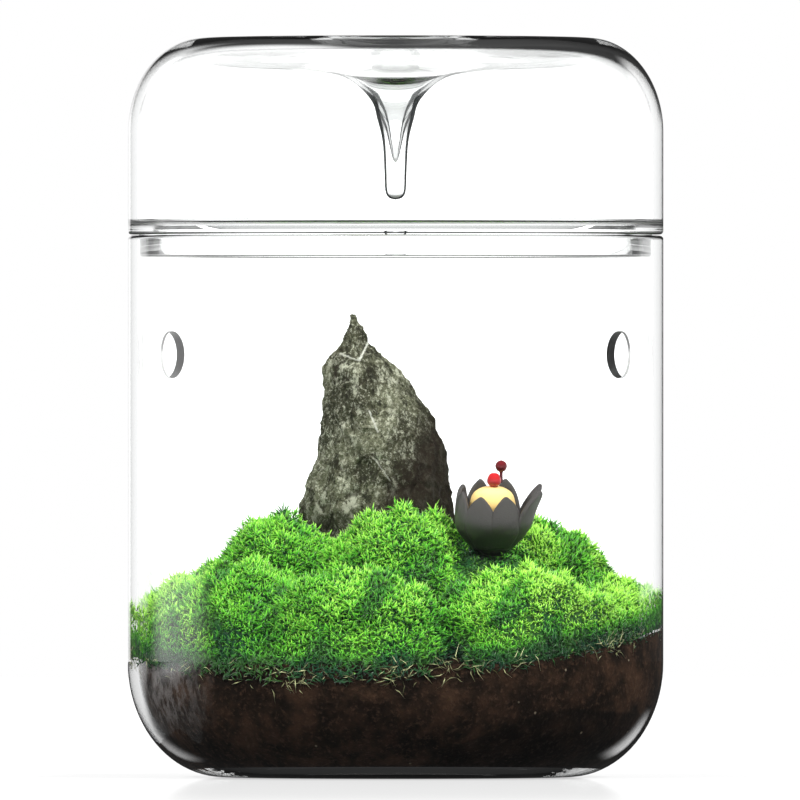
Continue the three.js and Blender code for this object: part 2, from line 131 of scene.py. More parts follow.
class NodeBook:
    """One node tree, written call by call."""

    def __init__(self, tree: bpy.types.NodeTree) -> None:
        """Starts on an empty tree."""
        tree.nodes.clear()
        self.tree = tree

    def add(self, kind: str, settings: dict, inputs: dict, output: int | str = 0) -> Wire:
        """Adds any node.

        Args:
            kind: the node's type, such as ShaderNodeTexNoise.
            settings: its properties.
            inputs: values or wires, by the socket's name or number.
            output: the name or number of the socket to return.

        Returns:
            The output as a wire.
        """
        node = self.tree.nodes.new(kind)
        for name, value in settings.items():
            setattr(node, name, value)
        for name, value in inputs.items():
            socket = node.inputs[name]
            if isinstance(value, Wire):
                self.tree.links.new(value.socket, socket)
            else:
                socket.default_value = (*value, 1) if socket.type == "RGBA" else value
        return Wire(self, node.outputs[output])

    def mix(self, share: Wire | float, first: Wire | Rgb, second: Wire | Rgb) -> Wire:
        """Two colours mixed by a share."""
        return self.add("ShaderNodeMix", {"data_type": "RGBA"}, {0: share, 6: first, 7: second}, 2)

    def layered(self, colour: Wire | Rgb, *layers: tuple[Wire | float, Wire | Rgb]) -> Wire:
        """Lays colours over one another.

        Args:
            colour: the lowest colour.
            layers: the share and the colour of each layer over it.

        Returns:
            The colour that is seen.
        """
        for share, layer in layers:
            colour = self.mix(share, colour, layer)
        return colour

    def blend(self, share: Wire, first: Wire, second: Wire) -> Wire:
        """Two shaders mixed by a share."""
        return self.add("ShaderNodeMixShader", {}, {0: share, 1: first, 2: second})

    def place(self, stretch: Spot = (1, 1, 1), turned: Spot = (0, 0, 0)) -> Wire:
        """The place on the piece, in metres, turned and stretched along each axis."""
        place = self.add("ShaderNodeTexCoord", {}, {}, "Object")
        return self.add("ShaderNodeMapping", {}, {"Vector": place, "Rotation": turned, "Scale": stretch})

    def axis(self, name: str) -> Wire:
        """One coordinate of the place, in millimetres."""
        place = self.add("ShaderNodeTexCoord", {}, {}, "Object")
        return self.add("ShaderNodeSeparateXYZ", {}, {0: place}, name) * METRE

    def length(self, vector: Wire) -> Wire:
        """The length of a vector."""
        return self.add("ShaderNodeVectorMath", {"operation": "LENGTH"}, {0: vector}, "Value")

    def noise(self, place: Wire, grain: float, detail: float = 3, rough: float = 0.55) -> Wire:
        """Cloudy noise whose lumps are about grain millimetres across."""
        inputs = {"Vector": place, "Scale": METRE / grain, "Detail": detail, "Roughness": rough}
        return self.add("ShaderNodeTexNoise", {}, inputs)

    def cells(self, place: Wire, grain: float, feature: str = "F1", output: str = "Distance") -> Wire:
        """Cells about grain millimetres across."""
        inputs = {"Vector": place, "Scale": METRE / grain}
        return self.add("ShaderNodeTexVoronoi", {"feature": feature}, inputs, output)

    def bump(self, height: Wire, depth: float) -> Wire:
        """A bump of so many millimetres."""
        return self.add("ShaderNodeBump", {}, {"Height": height, "Distance": depth * MM, "Strength": 1.0})

    def path(self, output: str) -> Wire:
        """One output of Light Path, which tells a ray's kind and how often it was bent or thrown back."""
        return self.add("ShaderNodeLightPath", {}, {}, output)

    def at_least(self, count: int, output: str) -> Wire:
        """1 for a ray whose depth of this kind is the count or more, and 0 for others."""
        return self.path(output).ramp(count - 0.8, count - 0.2)

    def principled(self, inputs: dict) -> Wire:
        """A Principled shader with these inputs."""
        return self.add("ShaderNodeBsdfPrincipled", {}, inputs)

    def surface(self, shader: Wire, kind: str = "ShaderNodeOutputMaterial") -> None:
        """Ends the tree with the shader."""
        output = self.tree.nodes.new(kind)
        self.tree.links.new(shader.socket, output.inputs["Surface"])

    def glass_surface(self, glass: Wire, shadow: Rgb) -> None:
        """Ends the tree with glass, through which the lamps light what is inside, tinted by its shadow."""
        clear = self.add("ShaderNodeBsdfTransparent", {}, {"Color": shadow})
        self.surface(self.blend(self.path("Is Shadow Ray"), glass, clear))


# ---------------------------------------------------------------- finishes
@dataclass(frozen=True)
class Finish:
    """A named material, whose nodes each kind of finish writes."""

    name: str

    def write(self, book: NodeBook) -> None:
        """Writes the nodes.

        Args:
            book: the material's nodes.
        """
        raise NotImplementedError

    def material(self) -> Material:
        """The finish as a material.

        Returns:
            The material.
        """
        material = bpy.data.materials.new(self.name)
        material.use_nodes = True
        self.write(NodeBook(material.node_tree))
        return material


@dataclass(frozen=True)
class ClearGlass(Finish):
    """Colourless glass with painted shade: it turns dark where it is seen edge on, and darkest on the drip's
    sides.
    """

    tint: Rgb = (0.985, 0.992, 0.99)
    # painted shade: the colour that the glass turns where it is seen edge on
    edge: Rgb = (0.03, 0.032, 0.033)
    shadow: Rgb = (0.97, 0.975, 0.973)
    edge_shade_on: Pair = (0.85, 0.94)
    drip_out: Pair = (9.5, 5)
    drip_up: Pair = (125, 128)
    drip_shade_share: float = 0.48
    drip_shade_cover: float = 0.9
    clear_ring: Band = (57.2, 57.6, 58, 58.4)
    clear_below: float = -1

    def write(self, book: NodeBook) -> None:
        """Paints shade on the edges, and most on the drip's sides, but not on the wall's inner face.

        Args:
            book: the material's nodes.
        """
        facing = book.add("ShaderNodeLayerWeight", {}, {"Blend": 0.5}, "Facing")
        out = book.length(book.place((1, 1, 0))) * METRE
        height = book.axis("Z")
        drip = out.ramp(*self.drip_out) * height.ramp(*self.drip_up)
        edge = (facing + drip * self.drip_shade_share).ramp(*self.edge_shade_on)
        edge = edge * (1 - out.band(*self.clear_ring))
        edge = edge * height.ramp(self.clear_below - 0.3, self.clear_below + 0.3)
        glass = book.principled({
            "Base Color": book.mix(edge, self.tint, self.edge), "Roughness": 0.0, "IOR": GLASS_IOR,
            "Transmission Weight": 1.0})
        # an opaque dark coat on the drip's sides: painted shade
        rim = book.principled({"Base Color": self.edge, "Roughness": 0.7, "Specular IOR Level": 0.0})
        book.glass_surface(book.blend(edge * drip * self.drip_shade_cover, glass, rim), self.shadow)


@dataclass(frozen=True)
class GroundGlass(Finish):
    """Glass that a drill or a grinder has left slightly frosted, tinted to paint shade: grey in the vents,
    black on the lid's ledge and seat.
    """

    colour: Rgb
    roughness: float = 0.35
    shine: float = 0.5
    shadow: Rgb = (0.8, 0.8, 0.8)

    def write(self, book: NodeBook) -> None:
        """Rough glass.

        Args:
            book: the material's nodes.
        """
        glass = book.principled({
            "Base Color": self.colour, "Roughness": self.roughness, "IOR": GLASS_IOR,
            "Specular IOR Level": self.shine, "Transmission Weight": 1.0})
        book.glass_surface(glass, self.shadow)


@dataclass(frozen=True)
class MossLeaf(Finish):
    """Moss leaves: teal and dark at the root, grass green, and lime at the tip; painted shade pulls a leaf
    towards the dark root colour.
    """

    name: str = "moss_leaves"
    root: Rgb = (0.002, 0.04, 0.016)
    middle: Rgb = (0.07, 0.36, 0.016)
    tip: Rgb = (0.31, 0.63, 0.07)
    old: Rgb = (0.17, 0.42, 0.03)
    strand: Rgb = (0.56, 0.58, 0.3)
    # the darker end of the strands' random tone
    dark_strand: Rgb = (0.05, 0.06, 0.015)

    def write(self, book: NodeBook) -> None:
        """Colours by the leaf attribute, which holds the way along times the painted light and shade, the
        tone and the kind.

        Args:
            book: the material's nodes.
        """
        leaf = book.add("ShaderNodeAttribute", {"attribute_name": "leaf"}, {}, "Color")
        along, tone, kind = (book.add("ShaderNodeSeparateColor", {}, {0: leaf}, i) for i in range(3))
        patches = book.noise(book.place(), 9, 2).ramp(0.35, 0.7)
        # the way along, times the painted light and shade, runs from the dark root colour to the lime tip
        green = book.layered(
            self.root,
            (along.ramp(0.0, 0.5), self.middle),
            (along.ramp(0.42, 1.0), self.tip),
            (tone.ramp(0.55, 1.0) * 0.5 + patches * 0.18, self.old))
        shade = 0.84 + tone * 0.5
        green = book.add("ShaderNodeVectorMath", {"operation": "SCALE"}, {0: green, "Scale": shade})
        strand = book.mix(tone, self.dark_strand, self.strand)
        book.surface(book.principled({
            "Base Color": book.mix(kind, green, strand), "Roughness": 0.5, "Specular IOR Level": 0.3,
            "Sheen Weight": 0.15, "Sheen Roughness": 0.5}))


@dataclass(frozen=True)
class DarkSoil(Finish):
    """Moist potting soil, pressed against the glass."""

    name: str = "dark_soil"
    dark: Rgb = (0.0085, 0.006, 0.0045)
    brown: Rgb = (0.064, 0.034, 0.02)
    dry: Rgb = (0.16, 0.145, 0.14)
    bank: Rgb = (0.004, 0.0035, 0.003)
    speck: Rgb = (0.24, 0.2, 0.14)
    speck_grain: float = 3.4

    def write(self, book: NodeBook) -> None:
        """Clumps and grains, dry at the lower left of the front, with a dark bank at the lower right.

        Args:
            book: the material's nodes.
        """
        place = book.place()
        x, y, z = (book.axis(name) for name in "XYZ")
        clumps = book.noise(place, 7, 4, 0.6)
        grains = book.noise(place, 1.1, 3, 0.7)
        scraped = book.noise(book.place((1, 1, 0.35)), 1.8, 4, 0.7).ramp(0.42, 0.6)
        left_low = x.ramp(-38, -53) * z.ramp(8, 16) * y.ramp(14, 4)
        over_bank = z - 6 - (x.ramp(2, 42) * 10 - x.ramp(30, 56) * 1.5) - grains * 0.8
        chance = book.cells(place, self.speck_grain, "F1", "Color")
        chosen = book.add("ShaderNodeSeparateColor", {}, {0: chance}, 0).ramp(0.86, 0.9)
        specks = book.cells(place, self.speck_grain).ramp(0.12, 0.05) * chosen
        colour = book.layered(
            self.dark,
            (clumps.ramp(0.36, 0.8) * 0.8, self.brown),
            (grains.ramp(0.5, 0.75) * 0.7, self.brown),
            (scraped * left_low * 0.85, self.dry),
            (over_bank.ramp(0.4, -0.4) * x.ramp(0, 14) * 0.6, self.bank),
            (specks, self.speck))
        book.surface(book.principled({
            "Base Color": colour, "Roughness": 0.92 - grains.ramp(0.5, 0.7) * 0.2,
            "Specular IOR Level": 0.3, "Normal": book.bump(grains * 0.5 + clumps + specks, 0.9)}))


@dataclass(frozen=True)
class GreyStone(Finish):
    """Fractured grey stone with pale chips, dark pits and fine pale veins."""

    name: str = "grey_stone"
    grey: Rgb = (0.14, 0.145, 0.09)
    shade: Rgb = (0.05, 0.05, 0.029)
    dark: Rgb = (0.02, 0.02, 0.012)
    pale: Rgb = (0.47, 0.48, 0.37)
    brown: Rgb = (0.018, 0.012, 0.008)
    vein: Rgb = (0.62, 0.63, 0.55)
    slant: Spot = (0.3, 0.75, 0.4)

    # each vein's ends in x and z, its half width and its brightness
    VEINS = (
        (-12.6, 94.8, -8.2, 93.2, 0.22, 0.6), (-8.2, 93.2, -6.1, 97.4, 0.32, 1.0),
        (-5.9, 82, -3.9, 77.2, 0.26, 0.9), (-4.6, 71.2, -1.2, 66.3, 0.2, 0.35))

    def veins(self, x: Wire, z: Wire, waver: Wire) -> list[tuple[Wire, Rgb]]:
        """The pale veins.

        Args:
            x: the place across.
            z: the place up.
            waver: how far the veins stray from straight lines.

        Returns:
            A layer for each vein.
        """
        layers = []
        for x0, z0, x1, z1, wide, bright in self.VEINS:
            long = math.hypot(x1 - x0, z1 - z0)
            dx, dz = (x1 - x0) / long, (z1 - z0) / long
            along = (x - x0) * dx + (z - z0) * dz
            across = abs((x - x0) * dz - (z - z0) * dx + waver)
            share = across.ramp(wide, wide * 0.4) * along.band(-0.3, 0.3, long - 0.3, long + 0.3)
            layers.append((share * bright, self.vein))
        return layers

    def write(self, book: NodeBook) -> None:
        """Lumps, pits and chips in grey, dark and pale, with dark brown in the cracks, partly the stone's
        colour and partly painted shade, and painted shade at the lower right and at the foot.

        Args:
            book: the material's nodes.
        """
        place = book.place()
        slanted = book.place((1, 1, 0.55), self.slant)
        x, z = book.axis("X"), book.axis("Z")
        lumps = book.noise(place, 10, 4, 0.6)
        chips = book.noise(slanted, 3.4, 8, 0.8)
        pits = book.noise(place, 0.8, 5, 0.8)
        facets = book.cells(slanted, 5.5, "DISTANCE_TO_EDGE")
        broken = book.noise(place, 5, 3)
        shade_low_right = (x * 0.9 - z * 0.55 + lumps * 14).ramp(-36, -27) * x.ramp(-7, 0)
        colour = book.layered(
            self.shade,
            (lumps.ramp(0.4, 0.58), self.grey),
            (pits.ramp(0.52, 0.62) * 0.85, self.pale),
            (pits.ramp(0.47, 0.37) * 0.9, self.dark),
            (chips.ramp(0.53, 0.59) * 0.9, self.pale),
            (chips.ramp(0.47, 0.4) * 0.95, self.dark),
            # dark brown in the cracks: partly the stone's colour, partly painted shade
            (facets.ramp(0.05, 0.0) * broken.ramp(0.47, 0.4) * 0.7, self.brown),
            # painted shade at the lower right
            (shade_low_right * 0.93, self.brown),
            # painted shade, darker towards the foot
            (z.ramp(64, 54) * 0.7, self.dark),
            *self.veins(x, z, (pits - 0.5) * 1.4))
        height = chips + pits * 0.6 + lumps * 0.7 - facets.ramp(0.08, 0.0) * 0.35
        book.surface(book.principled({
            "Base Color": colour, "Roughness": 0.86 - chips.ramp(0.5, 0.7) * 0.15,
            "Specular IOR Level": 0.35, "Normal": book.bump(height, 1.4)}))


@dataclass(frozen=True)
class SatinLacquer(Finish):
    """Painted resin with a faint cloudiness, and painted shade that darkens it towards its foot."""

    colour: Rgb
    # painted shade: the colour towards the foot
    shade: Rgb
    roughness: float
    low: float
    high: float
    grain: float = 1.2
    coat: float = 0.0

    def write(self, book: NodeBook) -> None:
        """Turns from the shade colour, which is painted shade, to the colour between the heights low and
        high.

        Args:
            book: the material's nodes.
        """
        place = book.place()
        cloud = book.noise(place, self.grain * 3, 3)
        fine = book.noise(place, self.grain * 0.3, 2)
        rise = book.axis("Z").ramp(self.low, self.high)
        book.surface(book.principled({
            "Base Color": book.mix(rise * 0.85 + cloud * 0.15, self.shade, self.colour),
            "Roughness": self.roughness + cloud * 0.12 - 0.06,
            "Coat Weight": self.coat, "Coat Roughness": 0.12, "Normal": book.bump(fine + cloud, 0.05)}))


@dataclass(frozen=True)
class PaleFloor(Finish):
    """A plain white table top with a faint gloss."""

    name: str = "pale_floor"
    colour: Rgb = (0.15, 0.15, 0.15)
    near: Rgb = (0.7, 0.7, 0.7)
    white: Rgb = (1, 1, 1)
    gloss: float = 0.3

    def streaks(self, x: Wire, y: Wire, out: Wire) -> Wire:
        """What the outer glass mirrors of the floor: a bright bow on each side, and haze on the left.

        Args:
            x: the place across.
            y: the place from front to back.
            out: the distance from the middle, across.

        Returns:
            The brightness.
        """
        left = x.ramp(0, -1)
        beyond = out - 45
        bow = (y + 20 - beyond * 1.7 - beyond * beyond * 0.006) / (3 + beyond * 0.65)
        right_bow = bow.band(-1.0, -0.1, 0.3, 1.15) * out.band(48, 57, 62, 100) * 1.5
        left_bow = bow.band(-0.9, 0.1, 0.3, 1.1) * out.band(44, 52, 55, 76) * 0.85
        haze = left * (y / out).band(-0.1, 0.25, 0.3, 0.65) * out.ramp(90, 400) * 2.6
        return right_bow + left * (left_bow - right_bow) + haze

    def write(self, book: NodeBook) -> None:
        """White where it is seen, and as if black card lay in front where the glass mirrors it.

        Args:
            book: the material's nodes.
        """
        x, y = book.axis("X"), book.axis("Y")
        out = abs(x)
        away = book.length(book.place())
        matt = book.principled({
            "Base Color": self.colour, "Roughness": 0.9, "Specular IOR Level": 0.0,
            "Emission Color": book.mix(away.ramp(0.3, 1.4), self.near, self.white),
            "Emission Strength": 1.0})
        gloss = book.add("ShaderNodeBsdfGlossy", {}, {"Color": self.white, "Roughness": 0.06})
        inner = book.at_least(1, "Transmission Depth")
        deep = book.at_least(3, "Transmission Depth")
        card = y.ramp(-20, 30) * (out / (y + 40)).ramp(1.1, 0.75) * (1 - x.ramp(0, 60) * 0.5)
        level = 0.03 + self.streaks(x, y, out) * (1 - inner) + inner * card
        level = level + deep * (1 - level)
        mirrored = book.add("ShaderNodeEmission", {}, {"Strength": level})
        unlit = book.add("ShaderNodeEmission", {}, {"Strength": 0.1})
        seen = book.blend(away.ramp(0.8, 0.25) * self.gloss, matt, book.blend(inner, gloss, unlit))
        book.surface(book.blend(book.at_least(1, "Glossy Depth"), seen, mirrored))


# ---------------------------------------------------------------- modelling
class Turn(Enum):
    """How many steps a turned piece has."""

    FINE = 160
    VENT = 56
    SMALL = 48


def mode(name: str) -> None:
    """Turns edit mode or object mode on."""
    bpy.ops.object.mode_set(mode=name)


def deselect() -> None:
    """Selects nothing."""
    if bpy.context.mode != "OBJECT":
        mode("OBJECT")
    bpy.ops.object.select_all(action="DESELECT")


def activate(piece: Piece) -> None:
    """Selects only this piece and makes it active.

    Args:
        piece: the piece.
    """
    deselect()
    piece.select_set(True)
    bpy.context.view_layer.objects.active = piece


def put_in_mesh() -> None:
    """Puts the active piece's place into its mesh."""
    bpy.ops.object.transform_apply(location=True, rotation=True, scale=True)


def named(name: str) -> Piece:
    """Names the active piece and puts its place into its mesh.

    Args:
        name: its new name.

    Returns:
        The piece.
    """
    piece = bpy.context.object
    piece.name = piece.data.name = name
    put_in_mesh()
    return piece


def apply_all(piece: Piece) -> None:
    """Applies every modifier of the piece.

    Args:
        piece: the piece.
    """
    activate(piece)
    for modifier in list(piece.modifiers):
        bpy.ops.object.modifier_apply(modifier=modifier.name)


def closed_up(piece: Piece) -> None:
    """Merges doubled points and turns the faces outwards.

    Args:
        piece: the piece.
    """
    activate(piece)
    mode("EDIT")
    bpy.ops.mesh.select_all(action="SELECT")
    bpy.ops.mesh.remove_doubles(threshold=1e-6)
    bpy.ops.mesh.normals_make_consistent(inside=False)
    mode("OBJECT")


def smoothed(piece: Piece, degrees: float = 35) -> None:
    """Shades the piece smooth, apart from edges sharper than this."""
    activate(piece)
    bpy.ops.object.shade_smooth_by_angle(angle=math.radians(degrees))


def spun(name: str, profile: Profile, turn: Turn = Turn.FINE) -> Piece:
    """Spins an open profile about Z into a closed piece.

    Args:
        name: the piece's name.
        profile: radius and height of each point, from the axis back to the axis.
        turn: how many steps the turn has.

    Returns:
        The piece.
    """
    deselect()
    bpy.ops.mesh.primitive_circle_add(vertices=len(profile), radius=0.01)
    piece = named(name)
    for vertex, (radius, height) in zip(piece.data.vertices, profile):
        vertex.co = (radius * MM, 0, height * MM)
    last = len(profile) - 1
    mode("EDIT")
    bpy.ops.mesh.select_mode(type="EDGE")
    bpy.ops.mesh.select_all(action="DESELECT")
    mode("OBJECT")
    for edge in piece.data.edges:
        edge.select = set(edge.vertices) == {0, last}
    mode("EDIT")
    bpy.ops.mesh.delete(type="EDGE")
    bpy.ops.mesh.select_mode(type="VERT")
    bpy.ops.mesh.select_all(action="SELECT")
    bpy.ops.mesh.spin(steps=turn.value, angle=2 * math.pi, center=(0, 0, 0), axis=(0, 0, 1))
    mode("OBJECT")
    closed_up(piece)
    return piece


def dress(piece: Piece, material: Material, node: str) -> None:
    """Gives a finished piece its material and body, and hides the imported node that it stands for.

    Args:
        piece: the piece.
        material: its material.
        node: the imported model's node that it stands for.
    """
    piece.data.materials.clear()
    piece.data.materials.append(material)
    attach(piece, "root")
    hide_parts(node)


def arc(centre: Pair, half: Pair, start: float, end: float, steps: int) -> Profile:
    """Points of an ellipse.

    Args:
        centre: its radius and height.
        half: its half width and half height.
        start: the first angle, in degrees.
        end: the last angle, in degrees.
        steps: how many steps lead from the first angle to the last.

    Returns:
        The points, with both ends.
    """
    angles = [math.radians(start + (end - start) * i / steps) for i in range(steps + 1)]
    return [(centre[0] + half[0] * math.cos(a), centre[1] + half[1] * math.sin(a)) for a in angles]


def between(p: float, q: float, r: float, s: float, share: float) -> float:
    """The value at a share of the way from q to r, on a cubic that p and s steer."""
    square, cube = 2 * p - 5 * q + 4 * r - s, 3 * q - p - 3 * r + s
    return 0.5 * (2 * q + (r - p) * share + square * share**2 + cube * share**3)


def curved(points: Profile, steps: int) -> Profile:
    """A smooth curve.

    Args:
        points: radius and height of the points that it passes.
        steps: how many steps lead from one to the next.

    Returns:
        The curve's points, none of them past the axis.
    """
    path = [points[0], *points, points[-1]]
    smooth = []
    for around in zip(path, path[1:], path[2:], path[3:]):
        smooth += [tuple(between(*four, i / steps) for four in zip(*around)) for i in range(steps)]
    return [(max(0.0, radius), height) for radius, height in [*smooth, points[-1]]]


def mesh_piece(name: str, places: np.ndarray, faces: np.ndarray) -> Piece:
    """Makes a piece from its points and faces.

    Args:
        name: the piece's name.
        places: the points, in metres.
        faces: the three corners of each face.

    Returns:
        The piece.
    """
    mesh = bpy.data.meshes.new(name)
    mesh.vertices.add(len(places))
    mesh.vertices.foreach_set("co", np.ascontiguousarray(places, np.float32).ravel())
    mesh.loops.add(faces.size)
    mesh.loops.foreach_set("vertex_index", np.ascontiguousarray(faces, np.int32).ravel())
    mesh.polygons.add(len(faces))
    mesh.polygons.foreach_set("loop_start", np.arange(0, faces.size, 3, dtype=np.int32))
    mesh.update(calc_edges=True)
    mesh.validate()
    piece = bpy.data.objects.new(name, mesh)
    bpy.context.collection.objects.link(piece)
    return piece


def corners_of(piece: Piece) -> Mesh:
    """The points of a piece, in metres, and its faces cut into triangles.

    Args:
        piece: the piece.

    Returns:
        Its points and faces.
    """
    mesh = piece.data
    mesh.calc_loop_triangles()
    places = np.empty(len(mesh.vertices) * 3)
    mesh.vertices.foreach_get("co", places)
    faces = np.empty(len(mesh.loop_triangles) * 3, np.int32)
    mesh.loop_triangles.foreach_get("vertices", faces)
    return places.reshape(-1, 3), faces.reshape(-1, 3)


def unit(vectors: np.ndarray) -> np.ndarray:
    """The vectors, each made one unit long."""
    return vectors / np.linalg.norm(vectors, axis=1)[:, None]


def distance(place: np.ndarray, centre: Pair | Spot = (0, 0)) -> np.ndarray:
    """How far points are from an upright line, the jar's axis where none is given."""
    return np.hypot(place[:, 0] - centre[0], place[:, 1] - centre[1])


# ---------------------------------------------------------------- the glass
@dataclass
class GlassJar:
    """The clear jar: flat foot, rounded lower corner, open top and two vents."""

    radius: float = 60
    wall: float = 2.2
    base: float = 2.8
    foot: float = 20
    rim: float = 121.2
    corner_across: float = 21.2
    corner_up: float = 25.7
    edge_round: float = 0.8
    vent_radius: float = 5.3
    vent_height: float = 94.6
    vent_azimuth: float = 118
    drill_length: float = 14

    @property
    def inner(self) -> float:
        """The inner radius of the wall."""
        return self.radius - self.wall

    @property
    def corner(self) -> Pair:
        """The centre of the lower corner's ellipse."""
        return self.radius - self.corner_across, self.corner_up

    def inside(self, gap: float, steps: int) -> Profile:
        """The inner profile from the lower corner's top to the axis, set in by a gap."""
        half = (self.corner_across - self.wall - gap, self.corner_up - self.base - gap)
        return [*arc(self.corner, half, 0, -90, steps), (0, self.base + gap)]

    def inner_radius(self, height: np.ndarray) -> np.ndarray:
        """The inner radius at each height."""
        drop = np.clip((self.corner_up - height) / (self.corner_up - self.base), 0, 0.999)
        return self.corner[0] + (self.corner_across - self.wall) * np.sqrt(1 - drop**2)

    def profile(self) -> Profile:
        """The whole wall, from the foot out and up, over the rim and down inside.

        Returns:
            The outline's points.
        """
        inner, lip = self.inner, self.edge_round
        lip_foot = self.rim - lip
        levels = [26.1, 27, 45, 65, 80, 88, 91.5, 94.6, 97.7, 101, 110, lip_foot - 1, lip_foot - 0.2]
        return [
            (0, 0), (self.foot, 0),
            *arc(self.corner, (self.corner_across, self.corner_up), -90, 0, 22),
            *((self.radius, level) for level in levels),
            *arc((self.radius - lip, lip_foot), (lip, lip), 0, 90, 6),
            *arc((inner + lip, lip_foot), (lip, lip), 90, 180, 6),
            *((inner, level) for level in reversed(levels)),
            *self.inside(0, 20)[:-1], (self.foot, self.base), (0, self.base)]

    def bore(self, jar: Piece, side: int, ground: Material) -> None:
        """Bores one vent.

        Args:
            jar: the turned wall.
            side: -1 for the left vent, 1 for the right one.
            ground: the material of the bore.
        """
        angle = math.radians(side * self.vent_azimuth)
        x, y = self.radius * math.sin(angle) * MM, -self.radius * math.cos(angle) * MM
        deselect()
        bpy.ops.mesh.primitive_cylinder_add(
            vertices=Turn.VENT.value, radius=self.vent_radius * MM, depth=self.drill_length * MM,
            location=(x, y, self.vent_height * MM), rotation=(math.pi / 2, 0, angle))
        drill = named("vent_drill")
        drill.data.materials.append(ground)
        cut = jar.modifiers.new("vent", "BOOLEAN")
        cut.operation, cut.object, cut.solver, cut.material_mode = "DIFFERENCE", drill, "EXACT", "TRANSFER"
        apply_all(jar)
        bpy.data.objects.remove(drill)

    def build(self, finish: ClearGlass, bored: GroundGlass) -> Piece:
        """Turns the wall and bores the vents.

        Args:
            finish: the wall's.
            bored: the vents'.

        Returns:
            The jar.
        """
        jar = spun("clear_jar", self.profile())
        dress(jar, finish.material(), "jar")
        ground = bored.material()
        jar.data.materials.append(ground)
        for side in (-1, 1):
            self.bore(jar, side, ground)
        smoothed(jar)
        return jar


@dataclass
class GlassLid:
    """The clear lid: domed shoulder, flange in the jar's mouth, dished top and hollow drip."""

    jar: GlassJar
    top: float = 165.6
    shoulder_across: float = 16.8
    shoulder_up: float = 21.2
    middle: float = 134
    plate: float = 2.6
    flange_outer: float = 57.3
    flange_inner: float = 54
    flange_bottom: float = 116.4
    flange_round: float = 0.6
    ledge: float = 123.9
    seat_gap: float = 0.3

    # radius and height: from the drip's tip out under the lid, and from the top in to the funnel's tip
    UNDERSIDE = (
        (0, 129.3), (1.5, 129.75), (2.3, 131.4), (2.5, 136), (2.9, 142.3), (4.1, 147.6), (5.4, 152),
        (9.6, 156.9), (15, 159.4), (28, 161.7))
    FUNNEL = (
        (32, 165.45), (21, 163.9), (14, 161.5), (9, 158.2), (5.9, 154.6), (3.4, 150.6), (1.8, 146.6),
        (1.0, 142), (0.45, 138.6), (0, 137.6))

    @property
    def seat(self) -> float:
        """The height of the face that rests on the jar's rim."""
        return self.jar.rim + self.seat_gap

    def profile(self) -> Profile:
        """From the drip's tip out under the lid, round the flange, and over the top into the funnel.

        Returns:
            The outline's points.
        """
        outer, inner, lip, small = self.jar.radius, self.jar.inner, self.jar.edge_round, self.flange_round
        shoulder = (outer - self.shoulder_across, self.top - self.shoulder_up)
        under, seat = shoulder[1], self.seat
        flange_top = (self.flange_inner + small, self.ledge - small)
        flange_in = (self.flange_inner + small, self.flange_bottom + small)
        flange_out = (self.flange_outer - small, self.flange_bottom + small)
        return [
            *curved(self.UNDERSIDE, 5),
            *arc(shoulder, (self.shoulder_across - self.jar.wall, self.shoulder_up - self.plate), 90, 0, 22),
            (inner, under - 0.4), (inner, under - 1.4), (inner, self.middle), (inner, self.ledge + 1),
            (inner, self.ledge + 0.45), (inner - 0.13, self.ledge + 0.13), (inner - 0.45, self.ledge),
            *arc(flange_top, (small, small), 90, 180, 6),
            *arc(flange_in, (small, small), 180, 270, 4),
            *arc(flange_out, (small, small), -90, 0, 4),
            (self.flange_outer, seat - 0.4), (self.flange_outer + 0.3, seat),
            *arc((outer - lip, seat + lip), (lip, lip), -90, 0, 6),
            (outer, seat + lip + 0.2), (outer, seat + lip + 1), (outer, self.middle),
            (outer, under - 1.4), (outer, under - 0.4),
            *arc(shoulder, (self.shoulder_across, self.shoulder_up), 0, 90, 26),
            *curved(self.FUNNEL, 5)]

    def is_ground(self, out: float, up: float) -> bool:
        """Whether a face at this radius and height belongs to the ledge or the seat."""
        on_ledge = -0.4 < self.ledge - up < 0.2 and self.flange_inner < out < self.jar.inner + 0.1
        on_seat = out > self.flange_outer + 0.3 and up < self.seat + 0.25
        return on_ledge or on_seat

    def build(self, finish: ClearGlass, ground: GroundGlass) -> Piece:
        """Turns the lid.

        Args:
            finish: the lid's.
            ground: the finish of its ledge and seat.

        Returns:
            The lid.
        """
        lid = spun("clear_lid", self.profile())
        smoothed(lid, 50)
        dress(lid, finish.material(), "lid")
        # the ledge and seat are black: painted shade
        lid.data.materials.append(ground.material())
        for face in lid.data.polygons:
            out, up = math.hypot(face.center.x, face.center.y) / MM, face.center.z / MM
            face.material_index = int(self.is_ground(out, up))
        return lid


